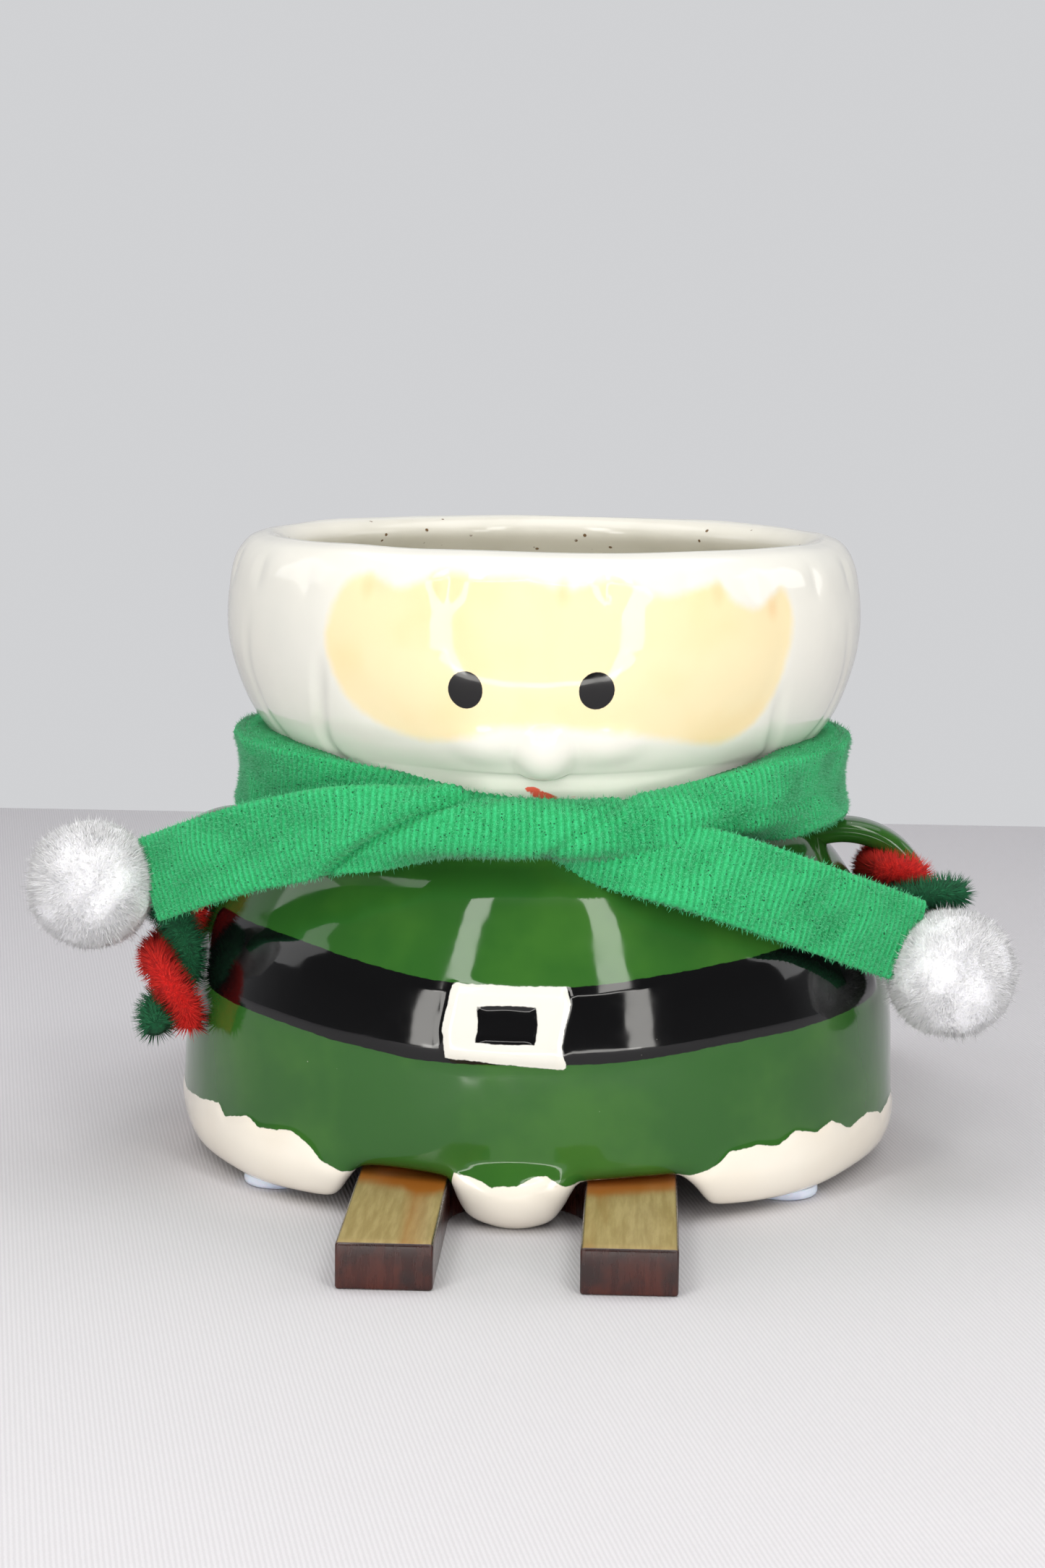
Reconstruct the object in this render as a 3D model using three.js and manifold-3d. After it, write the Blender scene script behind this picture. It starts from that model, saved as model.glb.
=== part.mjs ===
// A glazed ceramic gnome pot on a forked wooden board, with a knitted scarf and a twisted
// chenille handle. Millimetres, +Z up. The pot's axis is the Z axis and its face looks along -Y.
// The floor is z = 0, under the board.

import * as THREE from 'three';
import { mergeVertices } from 'three/addons/utils/BufferGeometryUtils.js';
import Module from 'manifold-3d';

const wasm = await Module();
wasm.setup();

// Driving dimensions
const GAP = 0.3; // left between pieces that touch

const BELLY_RADIUS = 66.5;
const NECK_RADIUS = 50;
const HEAD_RADIUS = 58.5;
const POT_HEIGHT = 114.4;
const FOOT_HEIGHT = 2.3; // underside of the hem's lobes
const UNDERSIDE = 8.4; // underside of the pot's floor
const BOWL_FLOOR = 13.5;
const BOWL_FLOOR_RADIUS = 55;
const FOOT_INNER_RADIUS = 52.5;
const LATHE_SEGMENTS = 48;

const BOARD_X = -1.4; // the board and its arches sit a little left of the middle
const BOARD_THICKNESS = 7.75;
const BOARD_HALF_WIDTH = 27.4;
const PRONG_WIDTH = 15.7;
const BOARD_FRONT = -101;
const BOARD_REAR = 40;
const SLOT_END = -50.6; // rear of the slot between the prongs
const BOARD_CORNER = 4;

const PAD_RADIUS = 6;
const PAD_HEIGHT = 2;
const PAD_PLACE_RADIUS = 59;
const PAD_ANGLE = 50; // degrees round from the front or the back

const LUG_CENTRE = { x: 56.5, z: 47 };
const LUG_OUTER = { x: 16.5, z: 15 };
const LUG_BAND = 4.3;
const LUG_DEPTH = 9;
const LUG_BEVEL = 1.2;

const SCARF_THICKNESS = 3;
const SCARF_WIDTH = 15;
const WRAP_INNER_RADIUS = NECK_RADIUS + 0.7;
const WRAP_OUTER_RADIUS = 56;
const WRAP_BOTTOM = 62.3;
const WRAP_TOP_FRONT = 72;
const WRAP_TOP_SIDE = 78;

const POMPOM_RADIUS = 12;

const STEM_RADIUS = 2.75; // one chenille stem, pile included
const TWIST_RADIUS = STEM_RADIUS + 0.35; // from the pair's centre line to each stem
const TWIST_PITCH = 26;
const STEM_SIDES = 8;
const PAIR_RADIUS = TWIST_RADIUS + STEM_RADIUS;
const LUG_HOLE = { x: 63.4, z: 49.7 }; // where the pair goes through a lug
const HOLE_LEAN = new THREE.Vector2(-0.44, 0.9); // the stems lie one above the other in the hole
const PIVOT = { y: 11, z: 50 }; // the handle bends here, just behind both lugs
const HANDLE_REACH = 97;
const HANDLE_HALF_WIDTH = 66;

// Materials

function glaze(colour) {
  return new THREE.MeshStandardMaterial({ color: colour, roughness: 0.12, metalness: 0 });
}

function soft(colour) {
  return new THREE.MeshStandardMaterial({ color: colour, roughness: 0.95, metalness: 0 });
}

const materials = {
  pot: glaze(0xeeeae0),
  lug: glaze(0x2d5a22),
  wood: new THREE.MeshStandardMaterial({ color: 0xa8814f, roughness: 0.45, metalness: 0 }),
  pad: new THREE.MeshStandardMaterial({ color: 0xe2e4ec, roughness: 0.6, metalness: 0 }),
  scarf: soft(0x2fae66),
  pompom: soft(0xf2f4f6),
  red: soft(0xb81a10),
  green: soft(0x0c5a34),
};

// Solids

function toSolid(geometry) {
  const bare = geometry.clone();
  bare.deleteAttribute('normal');
  bare.deleteAttribute('uv');
  const merged = mergeVertices(bare, 1e-4);
  const mesh = new wasm.Mesh({
    numProp: 3,
    vertProperties: new Float32Array(merged.attributes.position.array),
    triVerts: new Uint32Array(merged.index.array),
  });
  return new wasm.Manifold(mesh);
}

function toGeometry(solid) {
  const mesh = solid.getMesh();
  const geometry = new THREE.BufferGeometry();
  geometry.setAttribute('position', new THREE.BufferAttribute(mesh.vertProperties, 3));
  geometry.setIndex(new THREE.BufferAttribute(mesh.triVerts, 1));
  geometry.computeVertexNormals();
  return geometry;
}

function lathe(profile, segments = LATHE_SEGMENTS) {
  return new THREE.LatheGeometry(profile, segments).rotateX(Math.PI / 2);
}

function smooth(points, divisions) {
  return new THREE.SplineCurve(points.map(([r, z]) => new THREE.Vector2(r, z))).getPoints(divisions);
}

// Extrudes a shape drawn in X and Z, from the plane y = from to y = to
function extrudeAlongY(shape, from, to, options = {}) {
  const settings = { depth: to - from, bevelEnabled: false, curveSegments: 12, ...options };
  return new THREE.ExtrudeGeometry(shape, settings).rotateX(Math.PI / 2).translate(0, to, 0);
}

// Pot

const coat = [
  [BELLY_RADIUS - 1.9, 3.2],
  [BELLY_RADIUS, 7],
  [BELLY_RADIUS, 26],
  [65.1, 35],
  [61.9, 44.5],
  [55.4, 55],
  [NECK_RADIUS + 0.6, 60],
  [NECK_RADIUS, 63],
];

const head = [
  [NECK_RADIUS, 76.5],
  [54.6, 83.5],
  [HEAD_RADIUS - 0.6, 93],
  [HEAD_RADIUS, 101],
  [57.2, 109],
];

const rim = [
  [57.2, 109],
  [54.8, 113],
  [51.4, POT_HEIGHT],
  [48.6, 113.2],
  [47.6, 110.5],
];

const hollow = [
  [47.6, 110.5],
  [52.4, 105],
  [53.4, 97],
  [52, 89],
  [46.4, 80],
  [45, 74],
  [45, 64],
  [50.6, 54.5],
  [57.4, 43.5],
  [61, 30],
  [61, 20],
  [BOWL_FLOOR_RADIUS, BOWL_FLOOR],
];

function outerProfile() {
  return [...smooth(coat, 13), ...smooth(head, 8), ...smooth(rim, 6).slice(1)];
}

function potProfile() {
  const foot = [
    [0, UNDERSIDE],
    [FOOT_INNER_RADIUS, UNDERSIDE],
    [FOOT_INNER_RADIUS + 0.8, 4],
    [FOOT_INNER_RADIUS + 2.5, FOOT_HEIGHT],
    [BELLY_RADIUS - 5, FOOT_HEIGHT],
  ].map(([r, z]) => new THREE.Vector2(r, z));
  return [...foot, ...outerProfile(), ...smooth(hollow, 15).slice(1), new THREE.Vector2(0, BOWL_FLOOR)];
}

// The arch in the hem that one prong passes through, as an outline for the right-hand side
function archOutline() {
  const shape = new THREE.Shape();
  shape.moveTo(5, -1);
  shape.splineThru(
    [
      [6.6, 3],
      [8.6, 6],
      [11, 8.2],
      [14, 8.8],
      [20, 9],
      [27.4, 8.8],
      [30.6, 7],
      [33, 3.6],
      [35, -1],
    ].map(([x, z]) => new THREE.Vector2(x, z)),
  );
  shape.closePath();
  return shape;
}

function archTunnel(side) {
  const behindHem = 20;
  const solid = toSolid(extrudeAlongY(archOutline(), -BELLY_RADIUS - 5, -FOOT_INNER_RADIUS + behindHem));
  const sided = side > 0 ? solid : solid.mirror([1, 0, 0]);
  return sided.translate([BOARD_X, 0, 0]);
}

function potShell() {
  const centreLobeThickness = 8;
  const recessWidth = 28;
  const recessSize = 20;
  const lobeBack = -(BELLY_RADIUS - centreLobeThickness);
  const recess = new THREE.BoxGeometry(recessWidth, recessSize, recessSize);
  recess.translate(BOARD_X, lobeBack + recessSize / 2, UNDERSIDE - recessSize / 2);
  const body = toSolid(lathe(potProfile()));
  return toGeometry(body.subtract(archTunnel(1)).subtract(archTunnel(-1)).subtract(toSolid(recess)));
}

// Strap lugs, luted to the coat's sides

function potEnvelope() {
  const profile = [
    new THREE.Vector2(0, 0),
    new THREE.Vector2(BELLY_RADIUS, 0),
    ...outerProfile().map((p) => new THREE.Vector2(p.x + GAP, p.y)),
    new THREE.Vector2(0, POT_HEIGHT),
  ];
  return toSolid(lathe(profile));
}

function strapLug(side) {
  const centreX = side * LUG_CENTRE.x;
  const band = new THREE.Shape();
  band.absellipse(centreX, 0, LUG_OUTER.x - LUG_BEVEL, LUG_OUTER.z - LUG_BEVEL, 0, 2 * Math.PI, false, 0);
  const hole = new THREE.Path();
  hole.absellipse(
    centreX,
    0,
    LUG_OUTER.x - LUG_BAND + LUG_BEVEL,
    LUG_OUTER.z - LUG_BAND + LUG_BEVEL,
    0,
    2 * Math.PI,
    true,
    0,
  );
  band.holes.push(hole);
  const rounding = {
    bevelEnabled: true,
    bevelThickness: LUG_BEVEL,
    bevelSize: LUG_BEVEL,
    bevelSegments: 1,
    curveSegments: 24,
  };
  const flatHalf = LUG_DEPTH / 2 - LUG_BEVEL;
  const loop = extrudeAlongY(band, -flatHalf, flatHalf, rounding).translate(0, 0, LUG_CENTRE.z);
  return toGeometry(toSolid(loop).subtract(potEnvelope()));
}

// Scarf: a neck wrap and two tails, cut from one knitted strip

function neckWrap() {
  const half = (WRAP_OUTER_RADIUS - WRAP_INNER_RADIUS) / 2;
  const middle = WRAP_INNER_RADIUS + half;
  const section = [
    [middle - half, 0.08],
    [middle, 0],
    [middle + half, 0.15],
    [middle + half, 0.42],
    [middle + half - 1, 0.55],
    [middle + half, 0.7],
    [middle + half - 0.4, 0.92],
    [middle, 1],
    [middle - half, 0.9],
    [middle - half, 0.08],
  ];
  const ring = lathe(section.map(([r, z]) => new THREE.Vector2(r, z)));
  const place = ring.attributes.position;
  for (let i = 0; i < place.count; i += 1) {
    const frontness = -place.getY(i) / Math.hypot(place.getX(i), place.getY(i));
    const dip = Math.max(frontness, 0) ** 1.5;
    const top = WRAP_TOP_SIDE - (WRAP_TOP_SIDE - WRAP_TOP_FRONT) * dip;
    place.setZ(i, WRAP_BOTTOM + (top - WRAP_BOTTOM) * place.getZ(i));
  }
  return ring;
}

const TAIL_ROUTES = {
  left: [
    [-16, -56.4, 68.4],
    [-32, -52.5, 67.2],
    [-45, -45.5, 63.2],
    [-56.3, -38.6, 58.8],
    [-68.3, -30, 53.4],
  ],
  right: [
    [13, -57.4, 66.2],
    [22.5, -55.6, 63.6],
    [36, -50, 59],
    [51.5, -41, 51.4],
    [66.8, -30, 44.2],
  ],
};

function route(points) {
  return new THREE.CatmullRomCurve3(points.map((p) => new THREE.Vector3(...p)));
}

// A flat strip that follows a route, with its width as near upright as the route lets it be
function scarfTail(side) {
  const line = route(TAIL_ROUTES[side]);
  const strip = new THREE.BoxGeometry(1, SCARF_WIDTH, SCARF_THICKNESS, 20, 4, 1);
  const place = strip.attributes.position;
  for (let i = 0; i < place.count; i += 1) {
    const along = place.getX(i) + 0.5;
    const tangent = line.getTangentAt(along);
    const across = new THREE.Vector3(0, 0, 1).addScaledVector(tangent, -tangent.z).normalize();
    const through = tangent.clone().cross(across);
    const point = line.getPointAt(along);
    point.addScaledVector(across, place.getY(i)).addScaledVector(through, place.getZ(i));
    place.setXYZ(i, point.x, point.y, point.z);
  }
  return strip;
}

// A pom-pom pressed flat where it is sewn to the end of its tail
function pompom(side) {
  const centre = side === 'left' ? new THREE.Vector3(-80.1, -28, 51.6) : new THREE.Vector3(74.7, -28, 38.4);
  const line = route(TAIL_ROUTES[side]);
  const outward = line.getTangentAt(1);
  const toTail = centre.clone().sub(line.getPointAt(1)).dot(outward) - GAP;
  const ball = new THREE.IcosahedronGeometry(POMPOM_RADIUS, 3);
  const place = ball.attributes.position;
  for (let i = 0; i < place.count; i += 1) {
    const point = new THREE.Vector3().fromBufferAttribute(place, i);
    const depth = -point.dot(outward);
    point.addScaledVector(outward, Math.max(depth - toTail, 0));
    place.setXYZ(i, point.x, point.y, point.z);
  }
  return ball.translate(centre.x, centre.y, centre.z);
}

// Chenille stems: two stems twisted left-handed about a shared centre line

function stemSection() {
  const corners = [];
  for (let i = 0; i < STEM_SIDES; i += 1) {
    const angle = (2 * Math.PI * i) / STEM_SIDES;
    corners.push(new THREE.Vector2(Math.cos(angle), Math.sin(angle)).multiplyScalar(STEM_RADIUS));
  }
  return new THREE.Shape(corners);
}

// across is the direction from the centre line to the stem before any twist; the first
// straight millimetres of the line are left untwisted
function stem(line, across, straight, startAngle, steps) {
  const length = line.getLength();
  const points = [];
  for (let i = 0; i <= steps; i += 1) {
    const along = i / steps;
    const tangent = line.getTangentAt(along);
    const first = across.clone().addScaledVector(tangent, -across.dot(tangent)).normalize();
    const second = tangent.clone().cross(first);
    const twisted = Math.max(along * length - straight, 0);
    const angle = startAngle - (2 * Math.PI * twisted) / TWIST_PITCH;
    const point = line.getPointAt(along);
    point.addScaledVector(first, TWIST_RADIUS * Math.cos(angle));
    point.addScaledVector(second, TWIST_RADIUS * Math.sin(angle));
    points.push(point);
  }
  const extrudePath = new THREE.CatmullRomCurve3(points);
  return new THREE.ExtrudeGeometry(stemSection(), { steps, extrudePath });
}

const END_ROUTES = {
  left: [
    [-LUG_HOLE.x, LUG_DEPTH / 2 + 0.4, LUG_HOLE.z],
    [-LUG_HOLE.x, 0, LUG_HOLE.z],
    [-64.2, -6.4, 50.1],
    [-65.6, -12.8, 49.3],
    [-66.2, -18.4, 46.2],
    [-66, -23.4, 41.5],
    [-65.6, -28, 36.4],
    [-65.6, -30.8, 31.5],
    [-64.8, -32.6, 27],
  ],
  right: [
    [LUG_HOLE.x, LUG_DEPTH / 2 + 0.4, LUG_HOLE.z],
    [LUG_HOLE.x, 0, LUG_HOLE.z],
    [63.6, -5.6, 50.2],
    [64.6, -10, 51],
    [67.4, -13, 51],
    [71.2, -13.6, 49.6],
    [75.2, -13, 47.4],
  ],
};

function stemEnd(side, startAngle) {
  const line = route(END_ROUTES[side]);
  const mirror = side === 'left' ? -1 : 1;
  const across = new THREE.Vector3(mirror * HOLE_LEAN.x, 0, HOLE_LEAN.y);
  const straight = LUG_DEPTH + 1.5;
  const steps = Math.round(line.getLength() / 2.2);
  return stem(line, across, straight, startAngle, steps);
}

// Laid back, the handle slopes down by this angle to rest on the floor
const HANDLE_TILT = Math.asin((PIVOT.z - PAIR_RADIUS - GAP) / HANDLE_REACH);

// The handle's arch, drawn flat as half width and distance from the pivot, and then laid back
// until its far side rests on the floor
function handleRoute() {
  const half = [
    [HANDLE_HALF_WIDTH, 0],
    [HANDLE_HALF_WIDTH + 0.4, 24],
    [HANDLE_HALF_WIDTH + 0.2, 48],
    [HANDLE_HALF_WIDTH - 2, 68],
    [HANDLE_HALF_WIDTH - 14, 85],
    [HANDLE_HALF_WIDTH - 34, HANDLE_REACH - 2.5],
  ];
  const mirrored = half.map(([x, reach]) => [-x, reach]).reverse();
  return route(
    [...half, [0, HANDLE_REACH], ...mirrored].map(([x, reach]) => [
      x,
      PIVOT.y + reach * Math.cos(HANDLE_TILT),
      PIVOT.z - reach * Math.sin(HANDLE_TILT),
    ]),
  );
}

function handleStem(startAngle) {
  const planeNormal = new THREE.Vector3(0, Math.sin(HANDLE_TILT), Math.cos(HANDLE_TILT));
  const stepsPerTurn = 9;
  const line = handleRoute();
  return stem(line, planeNormal, 0, startAngle, Math.round((stepsPerTurn * line.getLength()) / TWIST_PITCH));
}

// Board and pads

function forkedBoard() {
  const slotHalf = BOARD_HALF_WIDTH - PRONG_WIDTH;
  const shape = new THREE.Shape();
  const frontY = BOARD_FRONT + BOARD_CORNER;
  const rearY = BOARD_REAR - BOARD_CORNER;
  shape.moveTo(-slotHalf, SLOT_END - slotHalf);
  shape.absarc(-slotHalf - BOARD_CORNER, frontY, BOARD_CORNER, 0, -Math.PI / 2, true);
  shape.absarc(-BOARD_HALF_WIDTH + BOARD_CORNER, frontY, BOARD_CORNER, -Math.PI / 2, -Math.PI, true);
  shape.absarc(-BOARD_HALF_WIDTH + BOARD_CORNER, rearY, BOARD_CORNER, Math.PI, Math.PI / 2, true);
  shape.absarc(BOARD_HALF_WIDTH - BOARD_CORNER, rearY, BOARD_CORNER, Math.PI / 2, 0, true);
  shape.absarc(BOARD_HALF_WIDTH - BOARD_CORNER, frontY, BOARD_CORNER, 0, -Math.PI / 2, true);
  shape.absarc(slotHalf + BOARD_CORNER, frontY, BOARD_CORNER, -Math.PI / 2, -Math.PI, true);
  shape.absarc(0, SLOT_END - slotHalf, slotHalf, 0, Math.PI, false);
  const board = new THREE.ExtrudeGeometry(shape, { depth: BOARD_THICKNESS, bevelEnabled: false, curveSegments: 8 });
  return board.translate(BOARD_X, 0, 0);
}

function pad() {
  const profile = [
    [0, 0],
    [PAD_RADIUS - 0.4, 0],
    [PAD_RADIUS, 0.5],
    [PAD_RADIUS - 0.6, PAD_HEIGHT],
    [0, PAD_HEIGHT],
  ];
  return lathe(profile.map(([r, z]) => new THREE.Vector2(r, z)), 20);
}

// Assembly

const object = new THREE.Group();

function add(name, geometry, material) {
  const mesh = new THREE.Mesh(geometry, material);
  mesh.name = name;
  object.add(mesh);
  return mesh;
}

add('pot_shell', potShell(), materials.pot);
add('left_lug', strapLug(-1), materials.lug);
add('right_lug', strapLug(1), materials.lug);
add('forked_board', forkedBoard(), materials.wood);
add('scarf_neck_wrap', neckWrap(), materials.scarf);

for (const side of ['left', 'right']) {
  add(`scarf_${side}_tail`, scarfTail(side), materials.scarf);
  add(`${side}_pompom`, pompom(side), materials.pompom);
  add(`${side}_red_stem_end`, stemEnd(side, 0), materials.red);
  add(`${side}_green_stem_end`, stemEnd(side, Math.PI), materials.green);
}

add('handle_red_stem', handleStem(0), materials.red);
add('handle_green_stem', handleStem(Math.PI), materials.green);

for (const [depthName, depth] of [['front', -1], ['rear', 1]]) {
  for (const [sideName, side] of [['left', -1], ['right', 1]]) {
    const angle = THREE.MathUtils.degToRad(PAD_ANGLE);
    const mesh = add(`${depthName}_${sideName}_pad`, pad(), materials.pad);
    mesh.position.set(side * PAD_PLACE_RADIUS * Math.sin(angle), depth * PAD_PLACE_RADIUS * Math.cos(angle), 0);
  }
}

export default object;
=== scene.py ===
"""The gnome pot's looks: glazed pot, knitted scarf, pom-poms, twisted chenille handle, forked board.

Lengths are in millimetres in the row frame (front is -Y, up is +Z) until a mesh is made in metres.
"""
import math

import bmesh
import bpy
import numpy as np
from mathutils import Matrix, Vector


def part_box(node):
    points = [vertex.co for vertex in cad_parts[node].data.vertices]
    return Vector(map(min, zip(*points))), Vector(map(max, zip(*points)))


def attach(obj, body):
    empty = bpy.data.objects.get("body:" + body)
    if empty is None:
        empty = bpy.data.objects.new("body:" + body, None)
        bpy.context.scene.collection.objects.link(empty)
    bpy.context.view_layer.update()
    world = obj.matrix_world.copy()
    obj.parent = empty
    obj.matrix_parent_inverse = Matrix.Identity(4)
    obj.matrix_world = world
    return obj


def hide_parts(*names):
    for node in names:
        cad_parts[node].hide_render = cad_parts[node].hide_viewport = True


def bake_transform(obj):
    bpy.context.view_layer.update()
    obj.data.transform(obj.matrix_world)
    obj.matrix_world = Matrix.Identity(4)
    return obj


MM = 0.001
FULL_TURN = 2 * math.pi

# Pot profile as (radius, height), the same curves as the cast shell.
FOOT_TOP = 8.6
FLOOR_CLEARANCE = 0.05  # fibres are pressed flat on the floor
BASE_HEIGHT = 2.3
COAT = [(61.5, 2.3), (64.6, 3.2), (66.4, 7), (66.6, 13), (66.1, 26), (65, 35), (61.9, 44.5), (55.4, 55),
        (50.6, 60), (50, 63)]
HEAD = [(50, 76.5), (54.6, 83.5), (57.9, 93), (58.5, 101), (57.2, 109)]
RIM = [(57.2, 109), (54.8, 113), (51.4, 114.4), (48.6, 113.2), (47.6, 110.5)]
HOLLOW = [(47.6, 110.5), (52.4, 105), (53.4, 97), (52, 89), (46.4, 80), (45, 74), (45, 64),
          (50.6, 54.5), (57.4, 43.5), (61, 30), (61, 20), (55, 13.5)]
FOOT_INSIDE = [(52.5, FOOT_TOP), (53.3, 4), (55, BASE_HEIGHT)]
COLLAR_HEIGHT = 66
FINE_SIDE = 78          # the front is meshed finely to this many degrees each way
FINE_STEP = 0.72
COARSE_STEP = 1.6

# The front hem, arched over the prongs: (distance to the right, height of the pot's lower edge).
ARCH = [(-40, 2.3), (-34.6, 2.4), (-32.4, 3.6), (-30.6, 6.2), (-28.6, 8.2), (-25, 8.9), (-18, 8.8),
        (-14.2, 8.4), (-12.9, 7.8), (-11.9, 6), (-10.7, 4), (-9.2, 2.7), (-6, 2.3), (2, 2.3), (4.8, 2.8),
        (6.8, 4.8), (8.2, 7), (9.6, 8.1), (14, 8.4), (22, 8.6), (26.2, 8.4), (28.8, 6.4), (30.8, 3.8),
        (32.8, 2.5), (40, 2.3)]
ARCH_REACH = 17         # the coat above an arch gives way up to this height

# Painted and modelled outlines on the pot as (degrees round from the front, height).
FACE = [(-38, 97), (-37.4, 103), (-34.6, 108), (-31, 110.2), (-27.6, 109.4), (-23.6, 108), (-19.4, 109.4),
        (-15.4, 111), (-8, 110.4), (-1, 110.4), (5, 108.4), (9, 109.2), (14, 110.4), (18.6, 108.6),
        (23, 107.3), (27.6, 108.2), (32.4, 109), (36.2, 106), (41, 104.8), (44.4, 106.4), (47.2, 108),
        (49.2, 104.6), (48.8, 99), (47.6, 93), (45.4, 86.4), (40, 81.8), (33.6, 81.2), (27, 82.4),
        (19, 84.2), (12, 85.2), (3, 86), (-5, 85.8), (-11, 84.2), (-17, 82.6), (-23, 82.8), (-29, 84.6),
        (-34.6, 88.4)]
BELT = [(-69.8, 46.6), (-58, 46.5), (-44, 46), (-32, 44.6), (-16, 42.3), (-4, 41.8), (8, 41.8), (18, 42.9),
        (36, 44.6), (56, 46), (70, 46.4), (72.6, 43), (71.6, 36.4), (69.4, 33.4), (50, 32.1), (30, 30.9),
        (14, 29.3), (0, 28.9), (-13, 28.7), (-27, 30.1), (-43, 31.9), (-57, 32.9), (-65, 34), (-68.4, 38),
        (-70.6, 43.6)]
BUCKLE = [(-11.6, 42), (-2, 41.9), (6, 41.8), (6.6, 39), (5.8, 35.6), (5.2, 32), (6, 28.2), (-3, 28.9),
          (-12, 29.5), (-12.6, 34), (-12, 38)]
BUCKLE_HOLE = [(-7.6, 38.4), (-3, 38.7), (1.4, 38.4), (1.7, 35.4), (1.4, 32.4), (-3, 32.3), (-7.6, 32.4),
               (-7.2, 35.4)]
MOUTH = [(-1.6, 74), (0.6, 74.1), (3.2, 73), (5.6, 72.2), (8.6, 72.4), (8.6, 71.6), (4.6, 71.2),
         (1.6, 71.8), (-0.8, 72.8)]
HEM_EDGE = [(-100, 11.6), (-88, 12.6), (-78, 11.2), (-70, 12), (-63, 13), (-57, 13.9), (-54.6, 12),
            (-48.4, 13.7), (-45, 12.2), (-38, 13.1), (-34.4, 11.4), (-31.6, 9), (-28, 7.6), (-24, 8.9),
            (-16, 8.5), (-12.4, 6.2), (-10.8, 7.6), (-10.3, 10.2), (-7.6, 9.5), (-4.4, 8.2), (-1, 8.4),
            (1.6, 9.9), (3.4, 9.9), (6, 8), (8.4, 8.6), (22, 9), (26, 8.9), (29, 10), (31.6, 12.4),
            (36.6, 12.8), (40.4, 11.8), (44.6, 14), (49.3, 12.6), (53, 14), (58.5, 11.4), (64.6, 12.8),
            (71, 11), (78, 12.4), (88, 11.2), (100, 12.8)]
EYES = [(-11.3, 91.5), (10.8, 91.8)]
EYE_RADIUS = 3.05
LEFT_GROOVE = [(-39.2, 98), (-40.4, 92.3), (-42.6, 85.4), (-44.6, 79.2), (-41.9, 75.1), (-37, 73)]
RIGHT_GROOVE = [(48.6, 92), (49.6, 86.2), (51.4, 82.2), (53.6, 77.9), (50.9, 75.2), (46, 73.2)]
LEFT_LOCK = [(-62, 103), (-63.4, 98), (-65.8, 90), (-64, 82), (-58, 75)]
RIGHT_LOCK = [(70, 103), (71, 97), (73, 89), (71, 81), (65, 75)]

LUG_CENTRE = (56.5, 47)
LUG_RADII = (14.35, 12.85)
LUG_BAND = 4.3
LUG_DEPTH = 9

BOARD_THICKNESS = 7.75
BOARD_HALF_WIDTH = 27.4
BOARD_FRONT = -101
BOARD_BACK = 40
SLOT_HALF_WIDTH = 11.7
SLOT_END = -50.6
BOARD_CORNER = 4

# The scarf strip's middle line from the left tail's end round the neck to the right tail's end:
# (x, y, z, lean of its top towards the pot in degrees, tuck of its top edge, hollow of its section,
# tuck of its lower edge).
SCARF_WIDTH = 15
SCARF_THICKNESS = 2.8
RIB_PITCH = 1.24
LEFT_TAIL = [(-69, -28.8, 52.9, 0, 0, -0.25, 0), (-56.3, -38.8, 58.8, 0, 0, -0.25, 0),
             (-45, -46, 63, 0, 0, -0.2, 0), (-32, -53, 66.4, 0, 0.1, -0.1, 0.1),
             (-18, -57.2, 67, 0, 0.5, 0, 0.7), (-4, -57.8, 66.2, 0, 0.9, 0, 1), (12, -56.6, 66.2, 0, 1, 0, 1),
             (27, -50.6, 67.4, 0, 0.8, 0.2, 1), (40.5, -39.8, 69.6, 0, 0.4, 0.6, 0.7)]
WRAP_RADIUS = 54.6
WRAP_HEIGHT = 70.9
WRAP_ANGLES = range(62, 299, 18)
RIGHT_TAIL = [(-40, -36.6, 69.8, 0, 0.2, 0.7, 0), (-28, -44.6, 68.4, 0, 0.6, 0.4, 0.3),
              (-14, -50, 67.4, 0, 1, 0, 0.6), (0, -51.6, 66.8, 4, 1, 0, 0.8),
              (11, -51.8, 65.4, 16, 0.6, 0, 0.4),
              (22.5, -53.2, 62.4, 28, 0.1, 0, 0.1), (36, -50.2, 58.2, 12, 0, -0.2, 0),
              (51.5, -41, 51.6, 0, 0, -0.25, 0), (67.4, -27.6, 44, 0, 0, -0.25, 0)]

POMPOM_RADIUS = 12.2
LEFT_POMPOM = (-80.1, -28, 51.6)
RIGHT_POMPOM = (74.7, -28, 38.4)

# The twisted pair's middle line, as the frame's stems run.
PIVOT = (11, 50)
HANDLE_REACH = 97
PAIR_RADIUS = 5.85
TWIST_RADIUS = 3.0
PILE_LENGTH = 3.0
TWIST_PITCH = 26
UNTWISTED = 10.5
LEFT_END = [(-64.8, -32.6, 27), (-65.6, -30.8, 31.5), (-65.6, -28, 36.4), (-66, -23.4, 41.5),
            (-66.2, -18.4, 46.2), (-65.6, -12.8, 49.3), (-64.2, -6.4, 50.1), (-63.4, 0, 49.7)]
RIGHT_END = [(63.4, 0, 49.7), (63.6, -5.6, 50.2), (64.6, -10, 51), (67.4, -13, 51), (71.2, -13.6, 49.6),
             (75.2, -13, 47.4)]
HANDLE_HALF = [(66, 0), (66.4, 24), (66.2, 48), (64, 68), (52, 85), (32, 94.5)]
LUG_HOLE = (63.4, 49.7)  # distance out and height of the middle of each lug's hole
LEFT_END_TURN = -48      # degrees that the left end is turned by, beyond its lug
STEM_CORE = 2.3

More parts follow.
